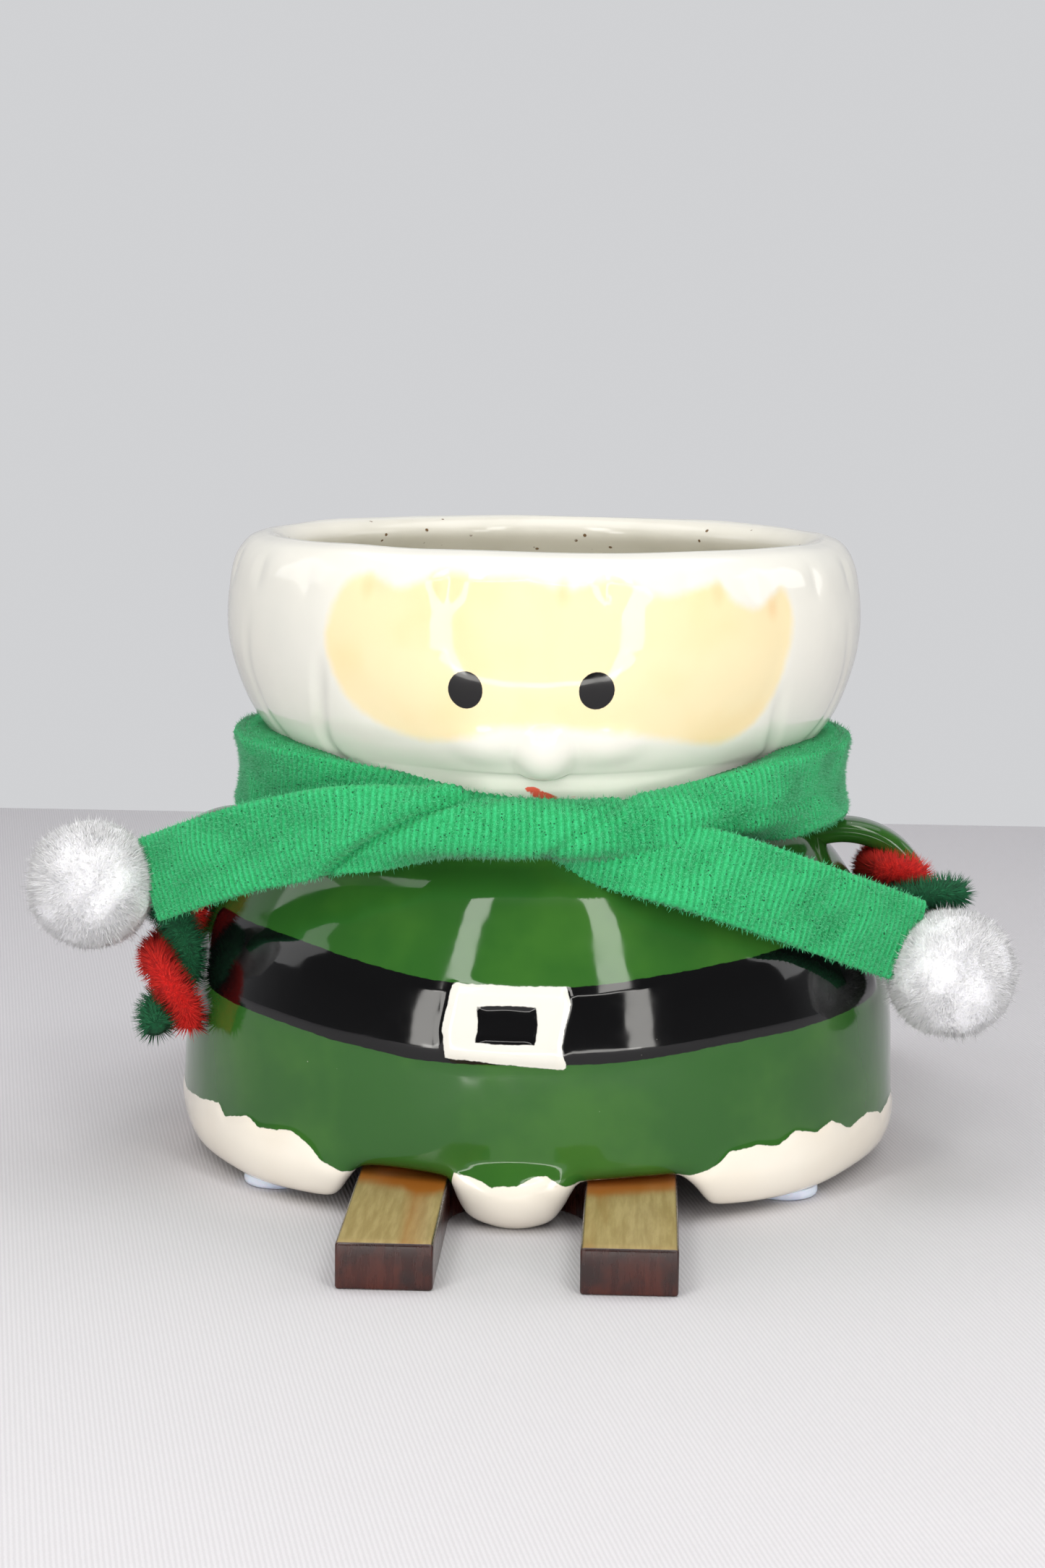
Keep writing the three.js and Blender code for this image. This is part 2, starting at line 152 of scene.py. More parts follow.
# The stage and its lights, in metres. The bright frame stands in front of the object.
FRAME_Y = -0.49
FRAME_REACH = 0.31
FRAME_LOW = 0.006
FRAME_HIGH = 0.33
STRIP_RADIANCE = 7.2
WARM_WHITE = (1, 0.98, 0.94)
BACKDROP = (0.635, 0.64, 0.655, 1)
STUDIO_BEHIND = (0.5, 0.5, 0.52, 1)
FLOOR_REACH = 0.75
FLOOR_FRONT = -0.45
FLOOR_BACK = 0.39
CAMERA_PLACE = (0.0190, -0.5897, 0.1530)
LOOKING_DOWN = 8.27
LOOKING_LEFT = 2.2
CAMERA_ROLL = 0.7

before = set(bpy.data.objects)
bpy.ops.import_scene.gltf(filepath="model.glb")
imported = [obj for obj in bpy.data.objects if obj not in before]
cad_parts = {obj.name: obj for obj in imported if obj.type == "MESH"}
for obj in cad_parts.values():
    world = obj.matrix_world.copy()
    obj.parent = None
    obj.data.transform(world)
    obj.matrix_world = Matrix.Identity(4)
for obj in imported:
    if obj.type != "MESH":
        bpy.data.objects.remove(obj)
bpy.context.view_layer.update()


# ---------------------------------------------------------------- curves and numbers

def smoothstep(low, high, value):
    t = np.clip((value - low) / (high - low), 0, 1)
    return t * t * (3 - 2 * t)


def bump(distance, radius):
    """1 in the middle, falling smoothly to 0 at the radius."""
    t = np.clip(1 - (distance / radius) ** 2, 0, 1)
    return t * t


def spline(points, step=None, count=None, closed=False):
    """Points at even steps along a smooth curve through the given ones; length counts x, y, z only."""
    knots = np.array(points, float)
    if closed:
        padded = np.vstack([knots[-1:], knots, knots[:2]])
        tail = knots[:1]
    else:
        padded = np.vstack([knots[:1], knots, knots[-1:]])
        tail = knots[-1:]
    t = np.linspace(0, 1, 20, endpoint=False)[:, None]
    parts = []
    for a, b, c, d in zip(padded[:-3], padded[1:-2], padded[2:-1], padded[3:]):
        bend = (2 * a - 5 * b + 4 * c - d) * t ** 2 + (3 * b - a - 3 * c + d) * t ** 3
        parts.append(0.5 * (2 * b + (c - a) * t + bend))
    curve = np.vstack(parts + [tail])
    lengths = np.linalg.norm(np.diff(curve[:, :3], axis=0), axis=1)
    along = np.concatenate([[0], np.cumsum(lengths)])
    if count is None:
        count = max(2, round(along[-1] / step) + 1)
    at = np.linspace(0, along[-1], count)
    return np.stack([np.interp(at, along, column) for column in curve.T], 1)


def unit(vectors):
    return vectors / np.maximum(np.linalg.norm(vectors, axis=-1, keepdims=True), 1e-9)


def tangents(points):
    return unit(np.gradient(points, axis=0))


def unevenness(points, wavelength, seed, waves=9):
    """A smooth wandering value of about -1 to 1 at each point."""
    random = np.random.default_rng(seed)
    total = np.zeros(len(points))
    for _ in range(waves):
        direction = unit(random.normal(size=3))
        pitch = wavelength * random.uniform(0.7, 1.6)
        total += np.sin(points @ direction * FULL_TURN / pitch + random.uniform(0, FULL_TURN))
    return total / math.sqrt(waves)


def line_distance(line, across, up):
    """Distance of each (across, up) from a polyline, in the line's own units."""
    best = np.full(across.shape, np.inf)
    for (ax, ay), (bx, by) in zip(line[:-1], line[1:]):
        dx, dy = bx - ax, by - ay
        share = np.clip(((across - ax) * dx + (up - ay) * dy) / (dx * dx + dy * dy + 1e-12), 0, 1)
        best = np.minimum(best, np.hypot(across - ax - share * dx, up - ay - share * dy))
    return best


def inside_distance(outline, angle, height, radius, smooth=True):
    """How far in millimetres each (angle, height) lies inside an outline drawn on the pot."""
    scale = radius * math.pi / 180
    knots = [(a * scale, z) for a, z in outline]
    line = spline(knots, count=len(knots) * 6, closed=True) if smooth else np.array(knots + knots[:1])
    across = angle * scale
    distance = line_distance(line, across, height)
    crossings = np.zeros(across.shape, int)
    for (ax, ay), (bx, by) in zip(line[:-1], line[1:]):
        spans = (ay > height) != (by > height)
        meets = ax + (height - ay) * (bx - ax) / (by - ay if by != ay else 1e-9)
        crossings += spans & (across < meets)
    return np.where(crossings % 2 == 1, distance, -distance)


# ---------------------------------------------------------------- meshes

def mesh_object(name, points, faces, material, smooth=True):
    """A mesh object from points in millimetres and arrays of faces of equal length each."""
    groups = [np.asarray(f) for f in (faces if isinstance(faces, list) else [faces])]
    corners = np.concatenate([g.ravel() for g in groups]).astype(np.int32)
    sizes = np.concatenate([np.full(len(g), g.shape[1]) for g in groups])
    starts = (np.cumsum(sizes) - sizes).astype(np.int32)
    mesh = bpy.data.meshes.new(name)
    mesh.vertices.add(len(points))
    mesh.vertices.foreach_set("co", (np.asarray(points) * MM).astype(np.float32).ravel())
    mesh.loops.add(len(corners))
    mesh.loops.foreach_set("vertex_index", corners)
    mesh.polygons.add(len(starts))
    mesh.polygons.foreach_set("loop_start", starts)
    mesh.polygons.foreach_set("use_smooth", np.full(len(starts), smooth))
    mesh.update(calc_edges=True)
    mesh.materials.append(material)
    piece = bpy.data.objects.new(name, mesh)
    bpy.context.scene.collection.objects.link(piece)
    return piece


def grid_faces(rows, columns, wrap_rows=False, wrap_columns=True):
    """Quads between the points of a grid kept row after row."""
    row = np.arange(rows if wrap_rows else rows - 1)[:, None]
    column = np.arange(columns if wrap_columns else columns - 1)[None, :]
    next_row = (row + 1) % rows
    next_column = (column + 1) % columns
    corners = [row * columns + column, row * columns + next_column,
               next_row * columns + next_column, next_row * columns + column]
    return np.stack(corners, -1).reshape(-1, 4)


def set_values(piece, name, values):
    attribute = piece.data.attributes.new(name, "FLOAT", "POINT")
    attribute.data.foreach_set("value", np.asarray(values, np.float32))


def tube(name, line, across, section, material):
    """A closed tube with round end caps: section gives (side, up) offsets along across and its normal."""
    forward = tangents(line)
    side = unit(across - forward * np.sum(across * forward, 1)[:, None])
    up = np.cross(forward, side)
    offsets = np.array(section, float)
    rings = line[:, None] + side[:, None] * offsets[None, :, :1] + up[:, None] * offsets[None, :, 1:]
    count = len(offsets)
    points = np.vstack([rings.reshape(-1, 3), line[:1] - forward[:1], line[-1:] + forward[-1:]])
    faces = grid_faces(len(line), count)
    ring = np.arange(count)
    last = (len(line) - 1) * count
    start_cap = np.stack([np.full(count, len(points) - 2), (ring + 1) % count, ring], 1)
    end_cap = np.stack([np.full(count, len(points) - 1), last + ring, last + (ring + 1) % count], 1)
    return mesh_object(name, points, [faces, start_cap, end_cap], material)


def fibres(name, roots, directions, facing, lengths, width, material, random):
    """Thin closed spikes, lit as the soft surface they make up, which faces the facing directions."""
    count = len(roots)
    side = unit(np.cross(directions, random.normal(size=(count, 3))))
    other = np.cross(directions, side)
    points = np.empty((count, 4, 3))
    for corner in range(3):
        turn = FULL_TURN * corner / 3
        points[:, corner] = roots + width * (side * math.cos(turn) + other * math.sin(turn))
    points[:, 3] = roots + directions * np.asarray(lengths)[:, None]
    points[..., 2] = np.maximum(points[..., 2], FLOOR_CLEARANCE)
    spike = np.array([(0, 1, 3), (1, 2, 3), (2, 0, 3), (0, 2, 1)])
    faces = (np.arange(count)[:, None, None] * 4 + spike).reshape(-1, 3)
    piece = mesh_object(name, points.reshape(-1, 3), faces, material)
    set_values(piece, "tip", np.tile([0, 0, 0, 1], count))
    set_values(piece, "shade", np.repeat(random.random(count), 4))
    piece.data.normals_split_custom_set_from_vertices(np.repeat(facing, 4, axis=0))
    return piece


# ---------------------------------------------------------------- materials

def rgb(red, green, blue):
    """A screen colour of 0 to 255 as the linear colour a shader takes."""
    def linear(value):
        value /= 255
        return value / 12.92 if value <= 0.04045 else ((value + 0.055) / 1.055) ** 2.4
    return (linear(red), linear(green), linear(blue), 1)


class Shader:
    """A material built by calls: each call adds a node, sets or links its inputs and returns an output."""

    def __init__(self, name):
        self.material = bpy.data.materials.new(name)
        self.material.use_nodes = True
        self.tree = self.material.node_tree
        self.surface = self.tree.nodes["Principled BSDF"]

    def add(self, kind, inputs, output=0, **settings):
        node = self.tree.nodes.new(kind)
        for key, value in settings.items():
            setattr(node, key, value)
        for key, value in inputs.items():
            self.put(node.inputs[key], value)
        return node.outputs[output]

    def put(self, socket, value):
        if isinstance(value, bpy.types.NodeSocket):
            self.tree.links.new(value, socket)
        else:
            socket.default_value = value

    def set(self, **inputs):
        for key, value in inputs.items():
            self.put(self.surface.inputs[key.replace("_", " ")], value)
        return self.material

    def value(self, name):
        return self.add("ShaderNodeAttribute", {}, output="Fac", attribute_name=name)

    def place(self):
        return self.add("ShaderNodeTexCoord", {}, output="Object")

    def noise(self, scale, detail=3, rough=0.5, place=None):
        inputs = {"Vector": place or self.place(), "Scale": scale, "Detail": detail, "Roughness": rough}
        return self.add("ShaderNodeTexNoise", inputs, output=0)

    def cells(self, scale, place=None):
        inputs = {"Vector": place or self.place(), "Scale": scale}
        return self.add("ShaderNodeTexVoronoi", inputs, output="Distance")

    def math(self, operation, a, b=0.0, c=0.0):
        return self.add("ShaderNodeMath", {0: a, 1: b, 2: c}, operation=operation)

    def ramp(self, value, low, high, to_low=0.0, to_high=1.0):
        inputs = {"Value": value, "From Min": low, "From Max": high, "To Min": to_low, "To Max": to_high}
        return self.add("ShaderNodeMapRange", inputs, interpolation_type="SMOOTHSTEP")

    def mix(self, share, a, b, blend="MIX"):
        node = self.tree.nodes.new("ShaderNodeMix")
        node.data_type = "RGBA"
        node.blend_type = blend
        self.put(node.inputs[0], share)
        self.put(node.inputs[6], a)
        self.put(node.inputs[7], b)
        return node.outputs[2]

    def bump(self, height, strength, distance, normal=None):
        inputs = {"Height": height, "Strength": strength, "Distance": distance}
        if normal is not None:
            inputs["Normal"] = normal
        return self.add("ShaderNodeBump", inputs)


GREEN_GLAZE = rgb(42, 90, 32)
GREEN_GLAZE_THIN = rgb(54, 102, 36)
IVORY_GLAZE = rgb(228, 226, 217)
HEM_GLAZE = rgb(240, 233, 220)


def green_glaze(shader):
    """The coat's green, thinner and more olive in broad clouds."""
    clouds = shader.ramp(shader.noise(55, 3), 0.4, 0.7)
    return shader.mix(clouds, GREEN_GLAZE, GREEN_GLAZE_THIN)


def glaze_surface(shader, colour):
    """Thick clear gloss with the faint waviness and pin-holes of a dipped glaze."""
    place = shader.place()
    dust = shader.ramp(shader.cells(420, place), 0.035, 0.05, 1.0, 0.0)
    rare = shader.ramp(shader.noise(90, 2, 0.5, place), 0.6, 0.64)
    specks = shader.math("MULTIPLY", dust, rare)
    colour = shader.mix(shader.math("MULTIPLY", specks, 0.5), colour, rgb(205, 200, 190))
    waves = shader.noise(110, 2, 0.4, place)
    normal = shader.bump(waves, 0.16, 0.0006)
    rough = shader.ramp(shader.noise(240, 3), 0.3, 0.8, 0.05, 0.1)
    shader.set(Base_Color=colour, Roughness=rough, Normal=normal)
    return shader.set(IOR=1.47)


def pot_glaze():
    shader = Shader("pot glaze")
    place = shader.place()
    wobble = shader.math("SUBTRACT", shader.noise(520, 3, 0.6, place), 0.5)
    drift = shader.math("SUBTRACT", shader.noise(150, 2, 0.5, place), 0.5)

    def painted(below, colour, name, edge=0.1, shake=0.55):
        """A colour laid over another inside the named outline, with a hand-painted edge."""
        distance = shader.math("MULTIPLY_ADD", wobble, shake, shader.value(name))
        distance = shader.math("MULTIPLY_ADD", drift, shake, distance)
        return shader.mix(shader.ramp(distance, -edge, edge), below, colour)

    tint = shader.ramp(shader.noise(38, 3, 0.5, place), 0.35, 0.7)
    ivory = shader.mix(tint, IVORY_GLAZE, rgb(222, 221, 213))
    flush = shader.ramp(shader.noise(60, 2, 0.5, place), 0.45, 0.75)
    skin = shader.mix(flush, rgb(234, 218, 176), rgb(234, 212, 164))
    colour = painted(ivory, skin, "face", 1.1, 0.8)
    colour = painted(colour, rgb(234, 206, 160), "blush", 1.0, 0.4)
    colour = painted(colour, green_glaze(shader), "coat")
    hem = shader.mix(tint, HEM_GLAZE, rgb(236, 227, 212))
    colour = painted(colour, hem, "hem", 0.1, 0.7)
    colour = painted(colour, rgb(8, 8, 9), "belt", 0.1, 0.4)
    colour = painted(colour, rgb(222, 220, 212), "buckle", 0.1, 0.7)
    colour = painted(colour, rgb(8, 8, 9), "buckle_hole", 0.1, 0.5)
    colour = painted(colour, rgb(10, 9, 10), "eyes", 0.07, 0.12)
    colour = painted(colour, rgb(224, 92, 74), "mouth", 0.1, 0.4)
    inner = shader.mix(shader.ramp(shader.noise(45, 3), 0.4, 0.7), rgb(232, 229, 217), rgb(222, 219, 206))
    spots = shader.ramp(shader.cells(360, place), 0.1, 0.16, 1.0, 0.0)
    groups = shader.ramp(shader.noise(80, 3, 0.6, place), 0.52, 0.56)
    inner = shader.mix(shader.math("MULTIPLY", spots, groups), inner, rgb(112, 84, 52))
    colour = painted(colour, inner, "inside", 0.9, 0.8)
    return glaze_surface(shader, colour)


def lug_glaze():
    shader = Shader("lug glaze")
    return glaze_surface(shader, green_glaze(shader))


def board_top():
    shader = Shader("board top")
    place = shader.place()
    stretched = shader.add("ShaderNodeMapping", {"Vector": place, "Scale": (1.0, 0.09, 1.0)})
    grain = shader.noise(900, 5, 0.62, stretched)
    broad = shader.noise(130, 3, 0.5, stretched)
    colour = shader.mix(shader.ramp(grain, 0.3, 0.75), rgb(158, 134, 86), rgb(184, 162, 112))
    colour = shader.mix(shader.ramp(broad, 0.52, 0.7), colour, rgb(150, 110, 56))
    pores = shader.ramp(shader.cells(620, place), 0.05, 0.09, 1.0, 0.0)
    colour = shader.mix(shader.math("MULTIPLY", pores, 0.45), colour, rgb(112, 86, 50))
    # painted shade: the top turns darker and redder inside the pot's footprint, where the pot shades it, and
    # along a band on the left prong
    pot_shade_and_band = shader.value("pot_shade_and_band")
    blurred = shader.math("MULTIPLY_ADD", shader.math("SUBTRACT", broad, 0.5), 0.9, pot_shade_and_band)
    colour = shader.mix(shader.ramp(blurred, 0.15, 0.95), colour, rgb(164, 96, 30))
    colour = shader.mix(shader.value("edge"), colour, rgb(58, 30, 20))
    normal = shader.bump(grain, 0.25, 0.0002)
    return shader.set(Base_Color=colour, Roughness=0.42, Normal=normal, Coat_Weight=0.25, Coat_Roughness=0.2)


def board_side():
    shader = Shader("board side")
    place = shader.place()
    stretched = shader.add("ShaderNodeMapping", {"Vector": place, "Scale": (1.0, 1.0, 0.16)})
    grain = shader.noise(700, 5, 0.6, stretched)
    colour = shader.mix(shader.ramp(grain, 0.3, 0.72), rgb(54, 20, 14), rgb(78, 32, 20))
    patches = shader.ramp(shader.noise(150, 3, 0.6, place), 0.38, 0.68)
    colour = shader.mix(patches, colour, rgb(40, 22, 20))
    colour = shader.mix(shader.value("edge"), colour, rgb(36, 22, 20))
    normal = shader.bump(grain, 0.3, 0.0002)
    rough = shader.ramp(grain, 0.3, 0.8, 0.22, 0.36)
    return shader.set(Base_Color=colour, Roughness=rough, Normal=normal, Coat_Weight=0.1, Coat_Roughness=0.12)


def pad_rubber():
    shader = Shader("pad rubber")
    cloud = shader.noise(260, 3)
    colour = shader.mix(shader.ramp(cloud, 0.4, 0.7), rgb(222, 228, 242), rgb(206, 213, 232))
    dirt = shader.ramp(shader.cells(700), 0.05, 0.09, 1.0, 0.0)
    colour = shader.mix(shader.math("MULTIPLY", dirt, 0.3), colour, rgb(120, 112, 104))
    shader.set(Base_Color=colour, Roughness=0.3, Subsurface_Weight=0.3)
    return shader.set(Subsurface_Scale=0.002, Normal=shader.bump(cloud, 0.1, 0.0003))


def scarf_knit():
    """Terry knit: dark pin-pricks of painted shade in the gaps between the loops, and painted shade in the
    valleys between the ribs.
    """
    shader = Shader("scarf knit")
    place = shader.place()
    loops = shader.cells(1500, place)
    gap_shade = shader.ramp(loops, 0.18, 0.34, 1.0, 0.0)
    here = shader.ramp(shader.noise(700, 2, 0.5, place), 0.42, 0.6)
    fuzz = shader.noise(2300, 4, 0.7, place)
    colour = shader.mix(shader.ramp(fuzz, 0.3, 0.75), rgb(30, 168, 96), rgb(62, 200, 132))
    # painted shade: darker green in the valleys between the ribs
    colour = shader.mix(shader.ramp(shader.value("rib"), -1.0, 1.0, 0.55, 0.0), colour, rgb(12, 130, 66))
    # painted shade: dark pin-pricks in the gaps between the loops
    colour = shader.mix(shader.math("MULTIPLY", gap_shade, here), colour, rgb(6, 84, 44))
    normal = shader.bump(fuzz, 0.6, 0.0003)
    return shader.set(Base_Color=colour, Roughness=0.95, Normal=normal, Sheen_Weight=0.1, Sheen_Roughness=0.5)


def pile(name, root, low, high, sheen=0.0):
    """Fibres: a darker root as painted shade deep in the pile, and tips that differ a little from fibre to
    fibre.
    """
    shader = Shader(name)
    tips = shader.mix(shader.value("shade"), low, high)
    # painted shade: each fibre darkens towards its root
    colour = shader.mix(shader.ramp(shader.value("tip"), 0.0, 0.7), root, tips)
    return shader.set(Base_Color=colour, Roughness=0.8, Sheen_Weight=sheen, Sheen_Roughness=0.5)


def woolly(name, low, high):
    """What lies under a pile."""
    shader = Shader(name)
    strands = shader.noise(1200, 4, 0.7)
    colour = shader.mix(shader.ramp(strands, 0.3, 0.75), low, high)
    normal = shader.bump(strands, 0.8, 0.0006)
    return shader.set(Base_Color=colour, Roughness=0.95, Normal=normal)


# ---------------------------------------------------------------- pot

def pot_profile():
    """Rows of (radius, height, kind): kind 0 is under the pot, 1 its outside, 2 its inside."""
    def rows(points, kind, step, straight=False):
        if straight:
            (ra, za), (rb, zb) = points
            count = max(2, round(math.hypot(rb - ra, zb - za) / step) + 1)
            line = np.stack([np.linspace(ra, rb, count), np.linspace(za, zb, count)], 1)
        else:
            line = spline(points, step=step)
        return np.column_stack([line, np.full(len(line), kind)])[1:]
    parts = [
        rows([(0, FOOT_TOP), FOOT_INSIDE[0]], 0, 7, straight=True),
        rows(FOOT_INSIDE, 0, 1.3),
        rows([FOOT_INSIDE[-1], COAT[0]], 0, 1.1, straight=True),
        rows(COAT, 1, 0.66),
        rows([COAT[-1], HEAD[0]], 1, 1.4, straight=True),
        rows(HEAD + RIM[1:3], 1, 0.66),
        rows(RIM[2:] + HOLLOW[1:], 2, 0.9)[:12],
        rows(RIM[2:] + HOLLOW[1:], 2, 0.9)[12::3],
        rows([HOLLOW[-1], (0, HOLLOW[-1][1])], 2, 8, straight=True)[:-1],
    ]
    return np.vstack(parts)


def pot_angles():
    front = np.arange(-FINE_SIDE, FINE_SIDE, FINE_STEP)
    back = np.linspace(FINE_SIDE, 360 - FINE_SIDE, round((360 - 2 * FINE_SIDE) / COARSE_STEP), endpoint=False)
    return np.concatenate([front, back])


def fur_scallops(angle, pitch, height, depth):
    """The hem's edge at the back, where no outline is given."""
    wave = np.abs(np.sin(np.radians(angle) * 180 / pitch))
    return height - depth * wave + 0.5 * np.sin(np.radians(angle) * 7)


def marks(angle, height):
    """Signed distances in millimetres inside each painted or modelled shape on the outside."""
    edge_at = [a for a, _ in HEM_EDGE]
    edge_height = [z for _, z in HEM_EDGE]
    hem_edge = np.interp(angle, edge_at, edge_height)
    hem_edge = np.where(np.abs(angle) > 96, fur_scallops(angle, 16, 13.4, 1.9), hem_edge)
    eyes = np.full(angle.shape, -99.0)
    for at, up in EYES:
        away = np.hypot(np.radians(angle - at) * 57.6, height - up)
        eyes = np.maximum(eyes, EYE_RADIUS - away)
    front = np.abs(angle) < 82
    found = {"hem": hem_edge - height, "eyes": eyes}
    shapes = {"face": (FACE, 57, True), "belt": (BELT, 64.5, True), "buckle": (BUCKLE, 64.5, False),
              "buckle_hole": (BUCKLE_HOLE, 64.5, False), "mouth": (MOUTH, 50, True)}
    for name, (outline, radius, smooth) in shapes.items():
        values = np.full(angle.shape, -99.0)
        values[front] = inside_distance(outline, angle[front], height[front], radius, smooth)
        found[name] = values
    blush = np.full(angle.shape, -99.0)
    for at, up in [(-30, 108), (-17, 108.4), (5, 108), (32.6, 107.6), (44.6, 104.6)]:
        away = np.hypot(np.radians(angle - at) * 57, (height - up) * 0.6)
        blush = np.maximum(blush, 1.0 - away)
    found["blush"] = blush
    return found


def groove(angle, height, line, width):
    scale = 57 * math.pi / 180
    drawn = [(a * scale, z) for a, z in line]
    smooth = spline(drawn, count=30)
    top, foot = line[0][1], line[-1][1]
    fade = smoothstep(top + 1, top - 9, height) * smoothstep(foot - 4, foot + 2, height)
    return bump(line_distance(smooth, angle * scale, height), width) * fade


def relief(angle, height, radius, found):
    """How far the outside stands out from the turned profile."""
    def spot(at, up, wide, tall):
        return bump(np.hypot(np.radians(angle - at) * radius / wide, (height - up) / tall), 1.0)
    out = 2.0 * spot(1, 84, 34, 16)
    out += 2.6 * np.sqrt(spot(2.2, 80.6, 5.3, 5.7)) * smoothstep(74.4, 77.2, height)
    out += 1.0 * spot(-8.6, 82.4, 8, 4.6) + 1.0 * spot(13.4, 82.4, 8.6, 4.6)
    out -= 0.25 * smoothstep(-1.2, 2.4, found["face"])
    for line in (LEFT_GROOVE, RIGHT_GROOVE):
        out -= 0.55 * groove(angle, height, line, 2.6)
    for line in (LEFT_LOCK, RIGHT_LOCK):
        out -= 0.2 * groove(angle, height, line, 2.8)
    trim = smoothstep(104.4, 108.2, height) * smoothstep(112.4, 109.8, height)
    valley = np.abs(np.sin(np.radians((angle + 30.4 + 1.6 * np.sin(np.radians(angle * 3))) * 180 / 14.7)))
    out += trim * (0.42 * np.minimum(1, valley * 1.5) ** 0.7 - 0.28)
    out += 0.32 * smoothstep(-1.3, 1.9, found["belt"])
    out += 0.45 * smoothstep(-0.5, 1.2, found["buckle"]) - 0.5 * smoothstep(-0.6, 0.9, found["buckle_hole"])
    out += 0.35 * smoothstep(-0.6, 1.6, found["hem"])
    across = radius * np.sin(np.radians(angle))
    lobe = 2.6 * bump(across + 1.8, 12) * bump(height - 4.4, 8.2)
    for middle in (-44, 43):
        lobe += 1.0 * bump(across - middle, 15) * bump(height - 6, 9)
    return out + np.where(np.abs(angle) < 75, lobe, 0)


def arch_lift(points, kinds):
    """New heights where the front hem arches over the board's prongs."""
    edge = spline(ARCH, count=160)
    lower = np.interp(points[:, 0], edge[:, 0], edge[:, 1])
    lower = np.where(points[:, 1] < -20, lower, BASE_HEIGHT)
    height = points[:, 2].copy()
    under = kinds == 0
    height[under] = np.maximum(height[under], np.minimum(lower, FOOT_TOP)[under])
    outer = (kinds == 1) & (height < ARCH_REACH)
    above = (ARCH_REACH - height[outer]) / (ARCH_REACH - BASE_HEIGHT)
    height[outer] += (lower[outer] - BASE_HEIGHT) * np.clip(above, 0, 1) ** 1.6
    return height


def make_pot():
    profile = pot_profile()
    angles = pot_angles()
    radius, height, kind = (np.repeat(profile[:, k], len(angles)) for k in range(3))
    angle = np.tile(np.where(angles > 180, angles - 360, angles), len(profile))
    slope = tangents(profile[:, :2])
    out_radial = np.repeat(slope[:, 1], len(angles))
    out_up = np.repeat(-slope[:, 0], len(angles))
    turn = np.radians(angle)
    plain = np.stack([radius * np.sin(turn), -radius * np.cos(turn), height], 1)
    lifted = arch_lift(plain, kind)
    found = marks(angle, lifted)
    raised = relief(angle, lifted, radius, found) + 0.13 * unevenness(plain, 26, 5)
    raised = np.where(kind == 1, raised, 0.12 * unevenness(plain, 34, 6) * (kind == 2))
    stand = radius + out_radial * raised
    points = np.stack([stand * np.sin(turn), -stand * np.cos(turn), lifted + out_up * raised], 1)
    columns = len(angles)
    bottom = [[0, 0, FOOT_TOP]]
    floor = [[0, 0, HOLLOW[-1][1]]]
    ring = np.arange(columns)
    last = (len(profile) - 1) * columns
    total = len(points)
    faces = [grid_faces(len(profile), columns),
             np.stack([np.full(columns, total), (ring + 1) % columns, ring], 1),
             np.stack([np.full(columns, total + 1), last + ring, last + (ring + 1) % columns], 1)]
    pot = mesh_object("glazed_pot", np.vstack([points, bottom, floor]), faces, pot_glaze())
    found["coat"] = COLLAR_HEIGHT - lifted
    lip = RIM[-1][1]
    found["inside"] = np.where(kind == 2, RIM[2][0] - 0.9 - radius + np.maximum(0, lip - 1.5 - height), -9)
    outside = (kind < 2)
    for name, values in found.items():
        if name != "inside":
            values = np.where(outside, values, -9)
        set_values(pot, name, np.concatenate([values, [values[0], values[-1]]]))
    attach(pot, "pot")
    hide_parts("pot_shell")


def rounded_section(width, height, corner, count=5):
    """Points round a rectangle with rounded corners, counterclockwise."""
    points = []
    for quarter in range(4):
        sign_x = 1 if quarter in (0, 3) else -1
        sign_y = 1 if quarter in (0, 1) else -1
        for step in range(count):
            turn = math.pi / 2 * (quarter + step / (count - 1))
            x = sign_x * (width / 2 - corner) + corner * math.cos(turn)
            y = sign_y * (height / 2 - corner) + corner * math.sin(turn)
            points.append((x, y))
    return points


def make_lugs():
    glaze = lug_glaze()
    section = rounded_section(LUG_DEPTH, LUG_BAND, 1.9)
    for side, node in ((-1, "left_lug"), (1, "right_lug")):
        turn = np.radians(np.linspace(-72, 113, 64))
        line = np.stack([
            side * (LUG_CENTRE[0] + LUG_RADII[0] * np.cos(turn)),
            np.zeros(len(turn)),
            LUG_CENTRE[1] + LUG_RADII[1] * np.sin(turn),
        ], 1)
        across = np.tile([0.0, -1.0, 0.0], (len(turn), 1))
        piece = tube(node + "_glazed", line, across, section, glaze)
        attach(piece, "pot")
        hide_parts(node)


# ---------------------------------------------------------------- board and pads

def board_outline():
    """The board's outline from above, counterclockwise, with its round-ended slot."""
    low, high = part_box("forked_board")
    middle = (low[0] + high[0]) / 2 / MM
    points = []

    def arc(x, y, radius, start, end, count):
        for turn in np.radians(np.linspace(start, end, count)):
            points.append((x + radius * math.cos(turn), y + radius * math.sin(turn)))

    inner = BOARD_HALF_WIDTH - BOARD_CORNER
    points.append((BOARD_HALF_WIDTH, BOARD_FRONT))
    arc(inner, BOARD_BACK - BOARD_CORNER, BOARD_CORNER, 0, 90, 6)
    arc(-inner, BOARD_BACK - BOARD_CORNER, BOARD_CORNER, 90, 180, 6)
    points.append((-BOARD_HALF_WIDTH, BOARD_FRONT))
    points.append((-SLOT_HALF_WIDTH, BOARD_FRONT))
    arc(0, SLOT_END - SLOT_HALF_WIDTH, SLOT_HALF_WIDTH, 180, 0, 19)
    points.append((SLOT_HALF_WIDTH, BOARD_FRONT))
    return [(x + middle, y) for x, y in points]


